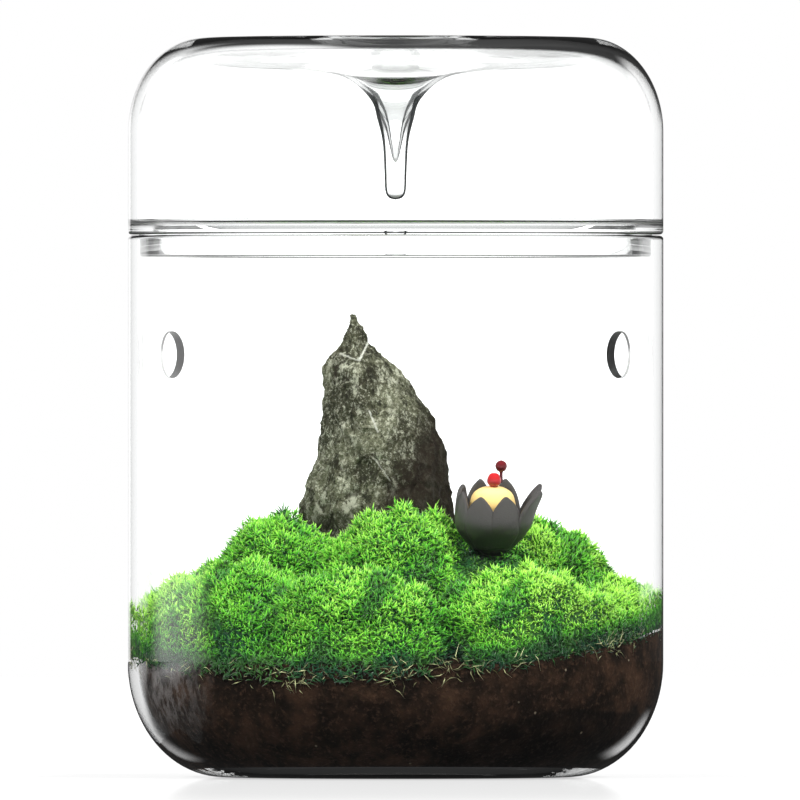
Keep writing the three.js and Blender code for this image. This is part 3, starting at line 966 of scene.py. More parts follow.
# ---------------------------------------------------------------- soil and stone
@dataclass
class SoilBed:
    """Soil between the glass and the hill's surface."""

    jar: GlassJar
    peak: float = 48
    at_glass: float = 27.5
    tilt: Pair = (3.2, 4.5)
    sides_up: float = 3
    gap: float = 0.3
    rings: int = 40

    @property
    def radius(self) -> float:
        """The radius of the bed above the jar's lower corner."""
        return self.jar.inner - self.gap

    def height(self, x: np.ndarray, y: np.ndarray) -> np.ndarray:
        """The height of the soil's surface at each place.

        Args:
            x: the places across.
            y: the places from front to back.

        Returns:
            The heights.
        """
        u, v = x / self.radius, y / self.radius
        low = self.at_glass + self.tilt[0] * u + self.tilt[1] * v + self.sides_up * u * u
        share = np.clip(1 - u * u - v * v, 0, 1) ** 1.5
        clods = 0.7 * np.sin(0.31 * x + 1.3) * np.sin(0.27 * y) + 0.5 * np.sin(0.55 * (x - y))
        return low + (self.peak - low) * share + clods * (0.3 + share)

    def touch(self, x: np.ndarray, y: np.ndarray, z: np.ndarray) -> np.ndarray:
        """How far out the soil moves to touch the glass: everywhere but at the lower left of the front.

        Args:
            x: the points' places across.
            y: their places from front to back.
            z: their heights.

        Returns:
            The distances.
        """
        wave = 1.6 * np.sin(0.7 * x)
        share = np.maximum(np.interp(x, [-48, -38], [0, 1]), np.interp(z + wave, [8, 14], [1, 0]))
        share = np.maximum(share, np.interp(y, [4, 16], [0, 1]))
        return share * (self.gap + 0.05) * np.interp(z, [3.6, 4.8], [0, 1])

    def build(self, finish: DarkSoil) -> Piece:
        """Turns the bed, raises its hill, and roughens what the glass doesn't hold.

        Args:
            finish: the soil's.

        Returns:
            The bed.
        """
        top = [(self.radius * i / self.rings, self.peak + 1) for i in range(self.rings + 1)]
        soil = spun("dark_soil_bed", [*top, *self.jar.inside(self.gap, 24)])
        places = corners_of(soil)[0] / MM
        x, y, z = places.T
        out = distance(places)
        raised = z > self.peak
        crumbs = 0.35 * np.sin(2.1 * x + np.sin(1.7 * y)) * np.sin(1.9 * y)
        surface = self.height(x, y) + crumbs * (out < self.radius - 1)
        z[raised] = surface[raised]
        touch = self.touch(x, y, z)
        at_wall = out > self.radius - 22
        places[:, :2] *= np.where(at_wall, 1 + touch / np.maximum(out, 1), 1)[:, None]
        low = ~raised & (z < 20) & (out > 39)
        z[low] -= touch[low]
        soil.data.vertices.foreach_set("co", (places * MM).ravel())
        closed_up(soil)
        smoothed(soil, 60)
        dress(soil, finish.material(), "soil")
        return soil


class Chips(Enum):
    """The layers that roughen the stone: texture, size and depth in millimetres."""

    BLOCKS = ("VORONOI", 8.0, 1.1)
    RIDGES = ("MUSGRAVE", 4.0, 0.5)
    GRAIN = ("CLOUDS", 1.2, 0.5)


@dataclass
class StandingStone:
    """The upright stone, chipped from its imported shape."""

    voxel: float = 0.5
    neck: float = 95
    tip_x: float = -9.6
    tip_rise: float = 0.17
    tip_spread: float = 0.05

    def chip(self, stone: Piece, layer: Chips) -> None:
        """Adds one layer of chips.

        Args:
            stone: the stone.
            layer: the kind of chips.
        """
        kind, size, depth = layer.value
        pattern = bpy.data.textures.new(layer.name.lower(), kind)
        pattern.noise_scale = size * MM
        if kind == "VORONOI":
            pattern.weight_1, pattern.weight_2 = -1, 1
        if kind == "MUSGRAVE":
            pattern.musgrave_type, pattern.octaves = "RIDGED_MULTIFRACTAL", 5
        chips = stone.modifiers.new("chips", "DISPLACE")
        chips.texture, chips.texture_coords = pattern, "LOCAL"
        chips.strength, chips.mid_level = depth * MM, 0.5

    def build(self, finish: GreyStone) -> Piece:
        """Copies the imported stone, draws its tip out, evens its faces out and chips them.

        Args:
            finish: the stone's.

        Returns:
            The stone.
        """
        stone = bpy.data.objects.new("weathered_stone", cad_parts["stone"].data.copy())
        bpy.context.collection.objects.link(stone)
        closed_up(stone)
        for vertex in stone.data.vertices:
            over = vertex.co.z / MM - self.neck
            if over > 0:
                vertex.co.z += self.tip_rise * over * MM
                vertex.co.x += (vertex.co.x - self.tip_x * MM) * self.tip_spread * over
        even = stone.modifiers.new("even", "REMESH")
        even.mode, even.voxel_size = "VOXEL", self.voxel * MM
        for layer in Chips:
            self.chip(stone, layer)
        apply_all(stone)
        smoothed(stone, 30)
        dress(stone, finish.material(), "stone")
        return stone


# ---------------------------------------------------------------- moss
@dataclass(frozen=True)
class Form:
    """The form of a cushion: centre, half widths, top, and half height of its whole ellipsoid."""

    x: float
    y: float
    rx: float
    ry: float
    top: float
    rz: float

    @property
    def centre(self) -> np.ndarray:
        """The ellipsoid's centre."""
        return np.array([self.x, self.y, self.top - self.rz])

    @property
    def half(self) -> np.ndarray:
        """The ellipsoid's half widths."""
        return np.array([self.rx, self.ry, self.rz])

    def area(self) -> float:
        """About how large the ellipsoid's surface is."""
        products = (self.rx * self.ry, self.rx * self.rz, self.ry * self.rz)
        return 4 * math.pi * sum(product**1.6 / 3 for product in products) ** (1 / 1.6)

    def depth(self, place: np.ndarray) -> np.ndarray:
        """How deep points lie in the cushion: under 1 is inside."""
        return np.linalg.norm((place - self.centre) / self.half, axis=1)


@dataclass(frozen=True)
class Growth:
    """One kind of growth: its shoots' spacing and leaves, and how these open, sink in, shrink and darken
    with painted shade.
    """

    spacing: float
    many: int
    widest: float
    sunk: float
    scale: float
    tone: float


@dataclass
class Leaves:
    """Many leaves or strands: where each starts, how it runs, and its looks, with the painted light and
    shade of its place.
    """

    root: np.ndarray
    way: np.ndarray
    length: np.ndarray
    width: np.ndarray
    bend: np.ndarray
    tone: np.ndarray
    kind: np.ndarray
    light: np.ndarray

    def kept(self, keep: np.ndarray) -> "Leaves":
        """Only the leaves that the mask keeps."""
        return Leaves(*(getattr(self, field.name)[keep] for field in fields(self)))


@dataclass
class MossCushion:
    """One cushion of moss, grown leaf by leaf."""

    jar: GlassJar
    soil: SoilBed
    number: int
    rng: np.random.Generator
    cup: Spot = CUP_FOOT
    tufts: Growth = Growth(2.7, 20, 92, 0.8, 1.0, 1.0)
    # the short growth between tufts: its tone of 0.5 darkens it, painted shade
    under: Growth = Growth(1.3, 6, 65, 1.3, 0.72, 0.5)
    leaf_length: float = 2.7
    leaf_width: float = 0.66
    strands: int = 3600
    strand_sunk: float = 0.34
    glass_leaves: int = 15000
    stone_x: float = 0.8
    stone_y: float = 6.3
    stone_left: float = 22.4
    stone_right: float = 12.8
    stone_deep: float = 12.6

    FORMS = (
        Form(2, -13, 23, 18, 58.3, 24), Form(-25.5, 2, 17.5, 22, 56.7, 24),
        Form(32, 4, 16.5, 22, 56.3, 24), Form(20.5, -15, 14.5, 14, 50.6, 17),
        Form(-8, -37, 25, 24, 44, 25), Form(29, -35, 24, 23, 46, 25),
        Form(-33, -24, 21, 24, 46.8, 25), Form(-44.5, -4, 18, 25, 43, 21),
        Form(47.5, -5, 16, 25, 43.8, 21), Form(1, 31, 26, 21, 53, 23),
        Form(-32, 29, 22, 22, 47.5, 24), Form(34, 29, 22, 22, 47.5, 24),
        Form(-17, 47, 22, 18, 42, 21), Form(17, 48, 22, 18, 43, 21))

    # pairs of stops and of the values there: the cup's shape, what shortens leaves, and the painted light
    # and shade that brighten or darken them
    CUP_SIDE = ([-0.2, 0.4, 2.3, 4.6, 8.4, 20], [0, 1.8, 4.3, 6.3, 8.3, 10.4])
    CUP_BED = ([0, 3.2, 5.9, 7.5, 9.5, 12], [0, 0, 1.5, 4, 9, 30])
    SHORT_BY_CUP = ([8, 15], [0.5, 1])
    DARK_BY_CUP = ([5, 10], [0.3, 1])
    DARK_BY_SOIL = ([0, 4], [0.5, 1])
    DARK_LOW_ON_GLASS = ([0, 2.5, 5, 8], [0.03, 0.17, 0.78, 1])
    DARK_IN_CREASE = ([0.97, 1.2], [0.27, 1])
    DARK_PATCHES = ([-0.7, -0.2, 0.4], [0.32, 0.88, 1.08])
    PAINTED_LIGHT_FROM_TOP = ([0, 5, 12, 20], [1.08, 1.02, 0.94, 1.0])
    PAINTED_LIGHT_ACROSS = ([-50, -43, -37, -25, -10, 12, 28, 50], [1.6, 1.3, 0.86, 0.87, 1, 1, 1.4, 1.5])

    @property
    def form(self) -> Form:
        """The cushion's own form."""
        return self.FORMS[self.number]

    @property
    def others(self) -> list[Form]:
        """The forms of all cushions but this one."""
        return [form for number, form in enumerate(self.FORMS) if number != self.number]

    def bulging(self, way: np.ndarray, grow: float) -> np.ndarray:
        """The points of the cushion's bulging surface in these directions, grown outwards."""
        turn = np.arctan2(way[:, 1], way[:, 0])
        lobes = 1 + 0.05 * np.sin(3 * turn + self.number) + 0.04 * np.sin(7 * way[:, 2] + 2 * self.number)
        return self.form.centre + (self.form.half + grow) * lobes[:, None] * way

    def in_stone(self, place: np.ndarray) -> np.ndarray:
        """Which points lie in the stone's foot.

        Args:
            place: the points.

        Returns:
            A mask of the points.
        """
        across = place[:, 0] - self.stone_x
        u = across / np.where(across < 0, self.stone_left, self.stone_right)
        deep = self.stone_deep * np.sqrt(np.clip(1 - 0.9 * np.abs(u) ** 1.7, 0.01, 1))
        return (np.abs(u) < 1) & (np.abs(place[:, 1] - self.stone_y) < deep)

    def in_cup(self, place: np.ndarray, room: float) -> np.ndarray:
        """Which points lie in the lotus cup."""
        above = place[:, 2] - self.cup[2]
        return (distance(place, self.cup) < np.interp(above, *self.CUP_SIDE) + room) & (above > -0.2)

    def pressed(self, place: np.ndarray, gap: float | np.ndarray) -> np.ndarray:
        """The points, moved in from the glass where they would pass it.

        Args:
            place: the points.
            gap: how far from the glass they stay.

        Returns:
            The points.
        """
        out = distance(place)
        most = self.jar.inner_radius(place[:, 2]) - gap
        scale = np.where(out > most, most / np.maximum(out, 1e-6), 1)
        return place * np.stack([scale, scale, np.ones_like(scale)], axis=1)

    def shoots(self, spacing: float) -> tuple[np.ndarray, np.ndarray]:
        """Spreads shoots over the cushion.

        Args:
            spacing: about how far apart they are.

        Returns:
            Where they grow, and which way.
        """
        rng, form = self.rng, self.form
        count = int(form.area() / spacing**2)
        index = np.arange(count) + 0.5
        up = 1 - 2 * index / count + rng.normal(0, 0.55 / math.sqrt(count), count)
        turn = index * GOLDEN_ANGLE + rng.normal(0, 0.9 / math.sqrt(count), count)
        level = np.sqrt(np.clip(1 - up**2, 0, 1))
        way = np.stack([level * np.cos(turn), level * np.sin(turn), np.clip(up, -1, 1)], axis=1)
        place = self.bulging(way, 0.6)
        place += 0.8 * np.sin(place[:, [1, 2, 0]] * 0.75 + self.number) * way
        free = self.pressed(place, 0.9)
        normal = unit(way / form.half)
        at_glass = np.linalg.norm(free - place, axis=1) > 0.01
        outward = place / distance(place)[:, None] * [1, 1, 0]
        normal[at_glass] = 0.25 * outward[at_glass] + [0, 0, 1.0]
        keep = free[:, 2] > self.soil.height(free[:, 0], free[:, 1]) + 0.4
        keep &= ~self.in_stone(free) & ~self.in_cup(free, 0.2)
        mine = form.depth(free)
        for other in self.others:
            depth = other.depth(free)
            keep &= (depth > 0.985) | (at_glass & (depth > mine))
        return free[keep], normal[keep]

    def light(self, place: np.ndarray) -> np.ndarray:
        """The painted light and shade of the leaves that start here: darker in creases, in patches, by the
        soil and by the cup, lighter near each cushion's top, and varying from left to right.

        Args:
            place: the leaves' starts.

        Returns:
            The brightness of each.
        """
        x, y, z = place.T
        above = z - self.soil.height(x, y)
        low = np.interp(above, *self.DARK_LOW_ON_GLASS)
        painted_shade = np.where(distance(place) > 50, low, np.interp(above, *self.DARK_BY_SOIL))
        for other in self.others:
            painted_shade = np.minimum(painted_shade, np.interp(other.depth(place), *self.DARK_IN_CREASE))
        waves = np.sin(0.37 * x + 1.7 * self.number + np.sin(0.3 * y))
        waves *= np.sin(0.34 * z - 0.3 * y + self.number)
        patches = np.interp(waves, *self.DARK_PATCHES)
        light_from_top = np.interp(self.form.top - z, *self.PAINTED_LIGHT_FROM_TOP)
        shade_by_cup = np.interp(distance(place, self.cup), *self.DARK_BY_CUP)
        return painted_shade * patches * light_from_top * shade_by_cup * np.interp(x, *self.PAINTED_LIGHT_ACROSS)

    def leaves(self, growth: Growth) -> Leaves:
        """Grows the leaves of the cushion's shoots.

        Args:
            growth: full tufts that fan out, or the short growth between them, darkened with painted shade.

        Returns:
            The leaves, without those that would pass into the lotus cup.
        """
        rng = self.rng
        place, normal = self.shoots(growth.spacing)
        axis = unit(normal + [0, 0, 0.22] + rng.normal(0, 0.25, place.shape))
        side = unit(np.cross(axis, rng.normal(0, 1, place.shape)))
        third = np.cross(axis, side)
        axis, side, third, root = (np.repeat(a, growth.many, axis=0) for a in (axis, side, third, place))
        count, index = len(root), np.arange(growth.many)
        turn = np.tile(index * GOLDEN_ANGLE, len(place)) + rng.uniform(0, 0.8, count)
        share = np.tile((index + 0.5) / growth.many, len(place))
        lean = np.radians(growth.widest * share**0.6 + rng.normal(0, 8, count))
        out = side * np.cos(turn)[:, None] + third * np.sin(turn)[:, None]
        way = axis * np.cos(lean)[:, None] + out * np.sin(lean)[:, None]
        shoot = np.repeat(rng.uniform(0.8, 1.2, len(place)), growth.many)
        length = self.leaf_length * shoot * rng.uniform(0.75, 1.2, count) * (1.1 - 0.4 * np.sin(lean))
        root = root + out * (0.7 * np.sin(lean))[:, None] + rng.normal(0, 0.2, root.shape)
        tone = np.repeat(rng.uniform(0.15, 0.8, len(place)), growth.many) + rng.normal(0, 0.18, count)
        root -= axis * growth.sunk
        length *= growth.scale * np.interp(distance(root, self.cup), *self.SHORT_BY_CUP)
        tip = root + way * length[:, None]
        keep = ~self.in_cup(tip, 0.25) & ~self.in_cup((root + tip) / 2, 0.25)
        width = self.leaf_width * rng.uniform(0.7, 1.1, count)
        bend = rng.normal(0.08, 0.22, count)
        tone = np.clip(tone * growth.tone, 0, 1)
        light = self.light(root)
        return Leaves(root, way, length, width, bend, tone, np.zeros(count), light).kept(keep)

    def at_glass(self, turn: np.ndarray, above: np.ndarray, sunk: float) -> np.ndarray:
        """Points sunk in the glass at each angle, so far above the soil."""
        x, y = (self.jar.inner + sunk) * np.cos(turn), (self.jar.inner + sunk) * np.sin(turn)
        return np.stack([x, y, self.soil.height(x, y) + above], axis=1)

    def along_glass(self, turn: np.ndarray, slope: np.ndarray, sign: np.ndarray | int = 1) -> np.ndarray:
        """Directions that run along the glass at each angle and rise by a slope, to either side."""
        level = np.cos(slope) * sign
        return np.stack([-np.sin(turn) * level, np.cos(turn) * level, np.sin(slope)], axis=1)

    def rootlets(self) -> Leaves:
        """Pale strands that hang on the glass where this cushion meets the soil.

        Returns:
            The strands.
        """
        rng = self.rng
        turn = rng.uniform(-math.pi, math.pi, self.strands)
        above = 2.6 - 5.4 * rng.beta(1.4, 2.0, self.strands)
        place = self.pressed(self.at_glass(turn, above, self.strand_sunk), -self.strand_sunk)
        nearest = np.argmin([form.depth(place) for form in self.FORMS], axis=0)
        clump = np.sin(9 * turn + 2.1 * np.sin(4 * turn)) * np.sin(5 * turn + 1)
        chance = 0.08 + 1.1 * np.clip(clump, 0, 1) ** 1.5
        keep = (nearest == self.number) & (rng.uniform(0, 1, self.strands) < chance)
        place, turn = place[keep], turn[keep]
        count = len(place)
        slope = rng.normal(0, 0.7, count)
        way = self.along_glass(turn, slope, rng.choice([-1, 1], count))
        return Leaves(
            place, way, rng.uniform(1.0, 3.6, count), rng.uniform(0.24, 0.42, count),
            rng.normal(0, 0.6, count), rng.uniform(0, 1, count), np.ones(count), np.ones(count))

    def on_glass(self) -> Leaves:
        """Leaves flat on the glass where this cushion meets it: by the soil and at the jar's sides.

        Returns:
            The leaves.
        """
        rng = self.rng
        turn = rng.uniform(-math.pi, math.pi, self.glass_leaves)
        above = rng.uniform(-1.5, 20, self.glass_leaves)
        place = self.at_glass(turn, above, 0.2)
        depth = np.array([form.depth(place) for form in self.FORMS])
        chance = np.interp(above, [-1.5, 0.3, 3, 6], [0.1, 1, 1, 0])
        chance = np.maximum(chance, np.interp(np.abs(place[:, 0]), [44, 51], [0, 1]) * (above > 0))
        keep = (np.argmin(depth, axis=0) == self.number) & (depth.min(axis=0) < 1.07)
        keep &= rng.uniform(0, 1, self.glass_leaves) < chance
        place, turn = place[keep], turn[keep]
        count = len(place)
        way = self.along_glass(turn, rng.normal(math.pi / 2, 0.9, count))
        length = self.leaf_length * rng.uniform(0.6, 1.05, count)
        width = self.leaf_width * rng.uniform(0.7, 1.1, count)
        bend = rng.normal(0.08, 0.3, count)
        # the tone falls towards the soil: painted shade low on the glass
        tone = rng.uniform(0.1, 0.7, count) * np.interp(above[keep], [0, 5], [0.2, 1])
        return Leaves(place, way, length, width, bend, tone, np.zeros(count), self.light(place))

    def grown(self, leaves: Leaves, leaf: Mesh, sunk: float) -> tuple[np.ndarray, np.ndarray, np.ndarray]:
        """Copies the leaf to every place.

        Args:
            leaves: the leaves to make.
            leaf: the points and faces of one leaf.
            sunk: how far into the glass they may reach.

        Returns:
            Their points, their faces and the points' leaf attribute.
        """
        shape, faces = leaf
        count, corners = len(leaves.root), len(shape)
        flat = unit(np.cross(leaves.way, [0.31, 0.17, 0.93]))
        back = np.cross(leaves.way, flat)
        along = shape[:, 2]
        bend = back * (leaves.bend * leaves.length)[:, None]
        places = (
            leaves.root[:, None]
            + leaves.way[:, None] * (leaves.length[:, None] * along)[:, :, None]
            + flat[:, None] * (leaves.width[:, None] * shape[:, 0])[:, :, None]
            + back[:, None] * (0.55 * leaves.width[:, None] * shape[:, 1])[:, :, None]
            + bend[:, None] * (along**2)[None, :, None])
        every = (faces[None] + corners * np.arange(count)[:, None, None]).reshape(-1, 3)
        # the first channel is the way along each leaf times the painted light and shade of its place
        looks = np.stack([
            (along[None] * leaves.light[:, None]).ravel(), np.repeat(leaves.tone, corners),
            np.repeat(leaves.kind, corners), np.ones(count * corners)], axis=1)
        return self.pressed(places.reshape(-1, 3), -sunk), every, looks

    def core(self) -> tuple[np.ndarray, np.ndarray, np.ndarray]:
        """Models the cushion under the leaves, dark with painted shade, and mottled lighter at the jar's
        sides.

        Returns:
            Its points, its faces and the points' leaf attribute.
        """
        deselect()
        bpy.ops.mesh.primitive_uv_sphere_add(segments=56, ring_count=28, radius=1)
        ball = named("moss_core")
        way, faces = corners_of(ball)
        bpy.data.objects.remove(ball)
        place = self.bulging(way, -0.5)
        waves = 1.6 * np.sin(0.9 * place[:, 2]) + 1.2 * np.sin(2.3 * place[:, 2] + self.number)
        side = np.abs(place[:, 0]) + waves
        place = self.pressed(place, np.interp(side, [50, 55], [0.5, -0.1]))
        soil = self.soil.height(place[:, 0], place[:, 1]) + np.interp(side, [50, 54], [-1.5, 0.5])
        bed = self.cup[2] - 0.8 + np.interp(distance(place, self.cup), *self.CUP_BED)
        place[:, 2] = np.minimum(np.maximum(place[:, 2], soil), bed)
        # painted shade: the core takes the dark root colour of the leaves
        looks = np.tile([0.06, 0.3, 0, 1.0], (len(place), 1))
        mottled = 0.24 + 0.16 * np.sin(3.1 * place[:, 2] + 2 * np.sin(1.7 * place[:, 1]))
        looks[:, 0] = np.interp(side, [50, 54], [0.06, 1]) * np.where(side > 50, mottled, 1)
        return place, faces, looks

    def build(self, leaf: Mesh, material: Material) -> Piece:
        """Grows the whole cushion.

        Args:
            leaf: the points and faces of one leaf.
            material: the leaves'.

        Returns:
            The cushion.
        """
        parts = [
            self.core(),
            self.grown(self.leaves(self.tufts), leaf, 0.2),
            self.grown(self.leaves(self.under), leaf, 0.2),
            self.grown(self.on_glass(), leaf, 0.36),
            self.grown(self.rootlets(), leaf, 0.42)]
        starts = np.cumsum([0, *(len(places) for places, _, _ in parts)])
        faces = np.concatenate([part[1] + start for part, start in zip(parts, starts)])
        places, looks = (np.concatenate([part[i] for part in parts]) for i in (0, 2))
        piece = mesh_piece(f"moss_{self.number + 1:02d}", places * MM, faces)
        layer = piece.data.attributes.new("leaf", "FLOAT_COLOR", "POINT")
        layer.data.foreach_set("color", looks.astype(np.float32).ravel())
        activate(piece)
        bpy.ops.object.shade_smooth()
        dress(piece, material, f"moss_cushion_{self.number + 1:02d}")
        return piece


@dataclass
class MossCarpet:
    """Cushions of moss over the whole hill, each a piece of its own."""

    jar: GlassJar
    soil: SoilBed
    seed: int = 41

    def leaf_shape(self) -> Mesh:
        """One leaf, modelled once: three-sided, widest at two fifths, one unit long.

        Returns:
            The leaf's points and faces.
        """
        deselect()
        bpy.ops.mesh.primitive_cone_add(vertices=3, radius1=0.55, depth=0.6, location=(0, 0, 0.7))
        leaf = named("moss_leaf")
        mode("EDIT")
        bpy.ops.mesh.select_all(action="DESELECT")
        mode("OBJECT")
        for face in leaf.data.polygons:
            face.select = face.normal.z < -0.9
        mode("EDIT")
        bpy.ops.mesh.select_mode(type="FACE")
        bpy.ops.mesh.extrude_region_move(TRANSFORM_OT_translate={"value": (0, 0, -0.4)})
        bpy.ops.mesh.merge(type="CENTER")
        mode("OBJECT")
        closed_up(leaf)
        places, faces = corners_of(leaf)
        bpy.data.objects.remove(leaf)
        return places, faces

    def build(self, finish: MossLeaf) -> list[Piece]:
        """Grows every cushion from its own random numbers, with one leaf and one material.

        Args:
            finish: the leaves'.

        Returns:
            The cushions.
        """
        leaf, material = self.leaf_shape(), finish.material()
        pieces = []
        for number in range(len(MossCushion.FORMS)):
            rng = np.random.default_rng(self.seed + number)
            pieces.append(MossCushion(self.jar, self.soil, number, rng).build(leaf, material))
        return pieces


# ---------------------------------------------------------------- ornament
@dataclass(frozen=True)
class Turned:
    """A turned piece of the ornament: name, slot and node, outline, and shift from the cup's foot."""

    name: str
    slot: str
    outline: tuple[Pair, ...]
    steps: int
    shift: Spot = (0, 0, 0)


@dataclass
class LotusOrnament:
    """A charcoal lotus cup with a plain cream pod, a red bead and a dark bud."""

    foot: Spot = CUP_FOOT
    petals: int = 8
    petal_foot: float = 1.6
    thickness: float = 1.0

    BOWL = (
        (0, 0), (2, 0.5), (3.7, 2.1), (5.2, 4.6), (6.2, 6.8), (6.4, 7.8), (5.6, 8.2), (3, 8.1), (0, 8.1))
    POD = Turned("cream_pod", "lotus_pod", (
        (0, 8.5), (4, 8.55), (5, 10.4), (5.05, 12.1), (4.3, 14.2), (2.4, 15.5), (0, 15.9)), 6)
    BEAD = Turned("red_bead", "red_berry", (
        (0, -1.6), (0.9, -1.35), (1.5, -0.55), (1.5, 0.3), (1.05, 1.25), (0.45, 1.6), (0.2, 1.5),
        (0, 1.4)), 5, (0.3, -1.9, 17.1))
    BUD = Turned("dark_bud", "dark_berry", (
        (0, -3.6), (0.42, -3.55), (0.36, -2.4), (0.4, -1.3), (0.95, -0.9), (1.3, 0), (1.05, 0.8),
        (0.45, 1.25), (0, 1.35)), 5, (1.9, 0.4, 20.2))

    def moved(self, piece: Piece, shift: Spot = (0, 0, 0)) -> None:
        """Moves a piece that was made about the axis to the cup's foot, and on by a shift.

        Args:
            piece: the piece.
            shift: how far it stands from the cup's foot.
        """
        activate(piece)
        bpy.ops.transform.translate(value=[(foot + step) * MM for foot, step in zip(self.foot, shift)])
        put_in_mesh()

    def petal(self, turn: float, height: float, flare: float) -> Piece:
        """Shapes one cupped, pointed petal.

        Args:
            turn: the angle that it stands at.
            height: the height of its tip.
            flare: how far its tip leans out.

        Returns:
            The petal.
        """
        deselect()
        bpy.ops.mesh.primitive_grid_add(x_subdivisions=8, y_subdivisions=14, size=2)
        petal = named("petal")
        for vertex in petal.data.vertices:
            across, up = vertex.co.x, (vertex.co.y + 1) / 2
            radius = 3.5 + 4.4 * math.sin(math.pi * min(0.5, 0.95 * up)) - 0.9 * up**3 + flare * up**3
            half = 0.12 + 3.75 * math.sin(math.pi * min(1, 0.2 + 0.8 * up**1.25)) ** 0.75
            radius += 0.35 * (1 - across**2) * math.sin(math.pi * up) + 0.25 * across**2 * up
            angle = turn + half * across / radius
            level = self.petal_foot + (height - self.petal_foot) * up
            vertex.co = (radius * math.cos(angle) * MM, radius * math.sin(angle) * MM, level * MM)
        closed_up(petal)
        wall = petal.modifiers.new("thick", "SOLIDIFY")
        wall.thickness, wall.offset = self.thickness * MM, 0
        fine = petal.modifiers.new("fine", "SUBSURF")
        fine.levels = fine.render_levels = 1
        apply_all(petal)
        return petal

    def build_cup(self, finish: SatinLacquer) -> Piece:
        """Joins the bowl and its petals.

        Args:
            finish: the cup's.

        Returns:
            The cup.
        """
        cup = spun("lotus_cup_piece", curved(self.BOWL, 4), Turn.SMALL)
        pieces = [cup]
        for number in range(self.petals):
            turn = 2 * math.pi * (number + 0.5) / self.petals
            flare = 5.4 * max(0.0, math.cos(turn)) ** 2
            pieces.append(self.petal(turn, 15.4 + 2.2 * math.sin(turn), flare))
        activate(cup)
        for piece in pieces:
            piece.select_set(True)
        bpy.ops.object.join()
        self.moved(cup)
        smoothed(cup, 50)
        dress(cup, finish.material(), "lotus_cup")
        return cup

    def build_turned(self, part: Turned, finish: SatinLacquer) -> Piece:
        """Turns the pod, the bead or the bud.

        Args:
            part: which piece.
            finish: the piece's.

        Returns:
            The piece.
        """
        piece = spun(part.name, curved(part.outline, part.steps), Turn.SMALL)
        self.moved(piece, part.shift)
        smoothed(piece, 60)
        dress(piece, finish.material(), part.slot)
        return piece


# ---------------------------------------------------------------- the studio
@dataclass(frozen=True)
class Patch:
    """A soft round patch of the sky: its middle, where it ends and where it is full, in degrees."""

    azimuth: float
    elevation: float
    outer: float
    inner: float
    level: float = 1.0

    def share(self, book: NodeBook) -> Wire:
        """How bright the patch makes the sky in each direction.

        Args:
            book: the sky's nodes.

        Returns:
            The brightness.
        """
        turn, rise = math.radians(self.azimuth), math.radians(self.elevation)
        centre = (math.sin(turn) * math.cos(rise), math.cos(turn) * math.cos(rise), math.sin(rise))
        way = book.add("ShaderNodeTexCoord", {}, {}, "Generated")
        near = book.add("ShaderNodeVectorMath", {"operation": "DOT_PRODUCT"}, {0: way, 1: centre}, "Value")
        return near.ramp(math.cos(math.radians(self.outer)), math.cos(math.radians(self.inner))) * self.level


@dataclass(frozen=True)
class SoftBox:
    """A lamp that faces the terrarium: its place and width in metres, and its power in watts."""

    name: str
    place: Spot
    width: float
    power: float


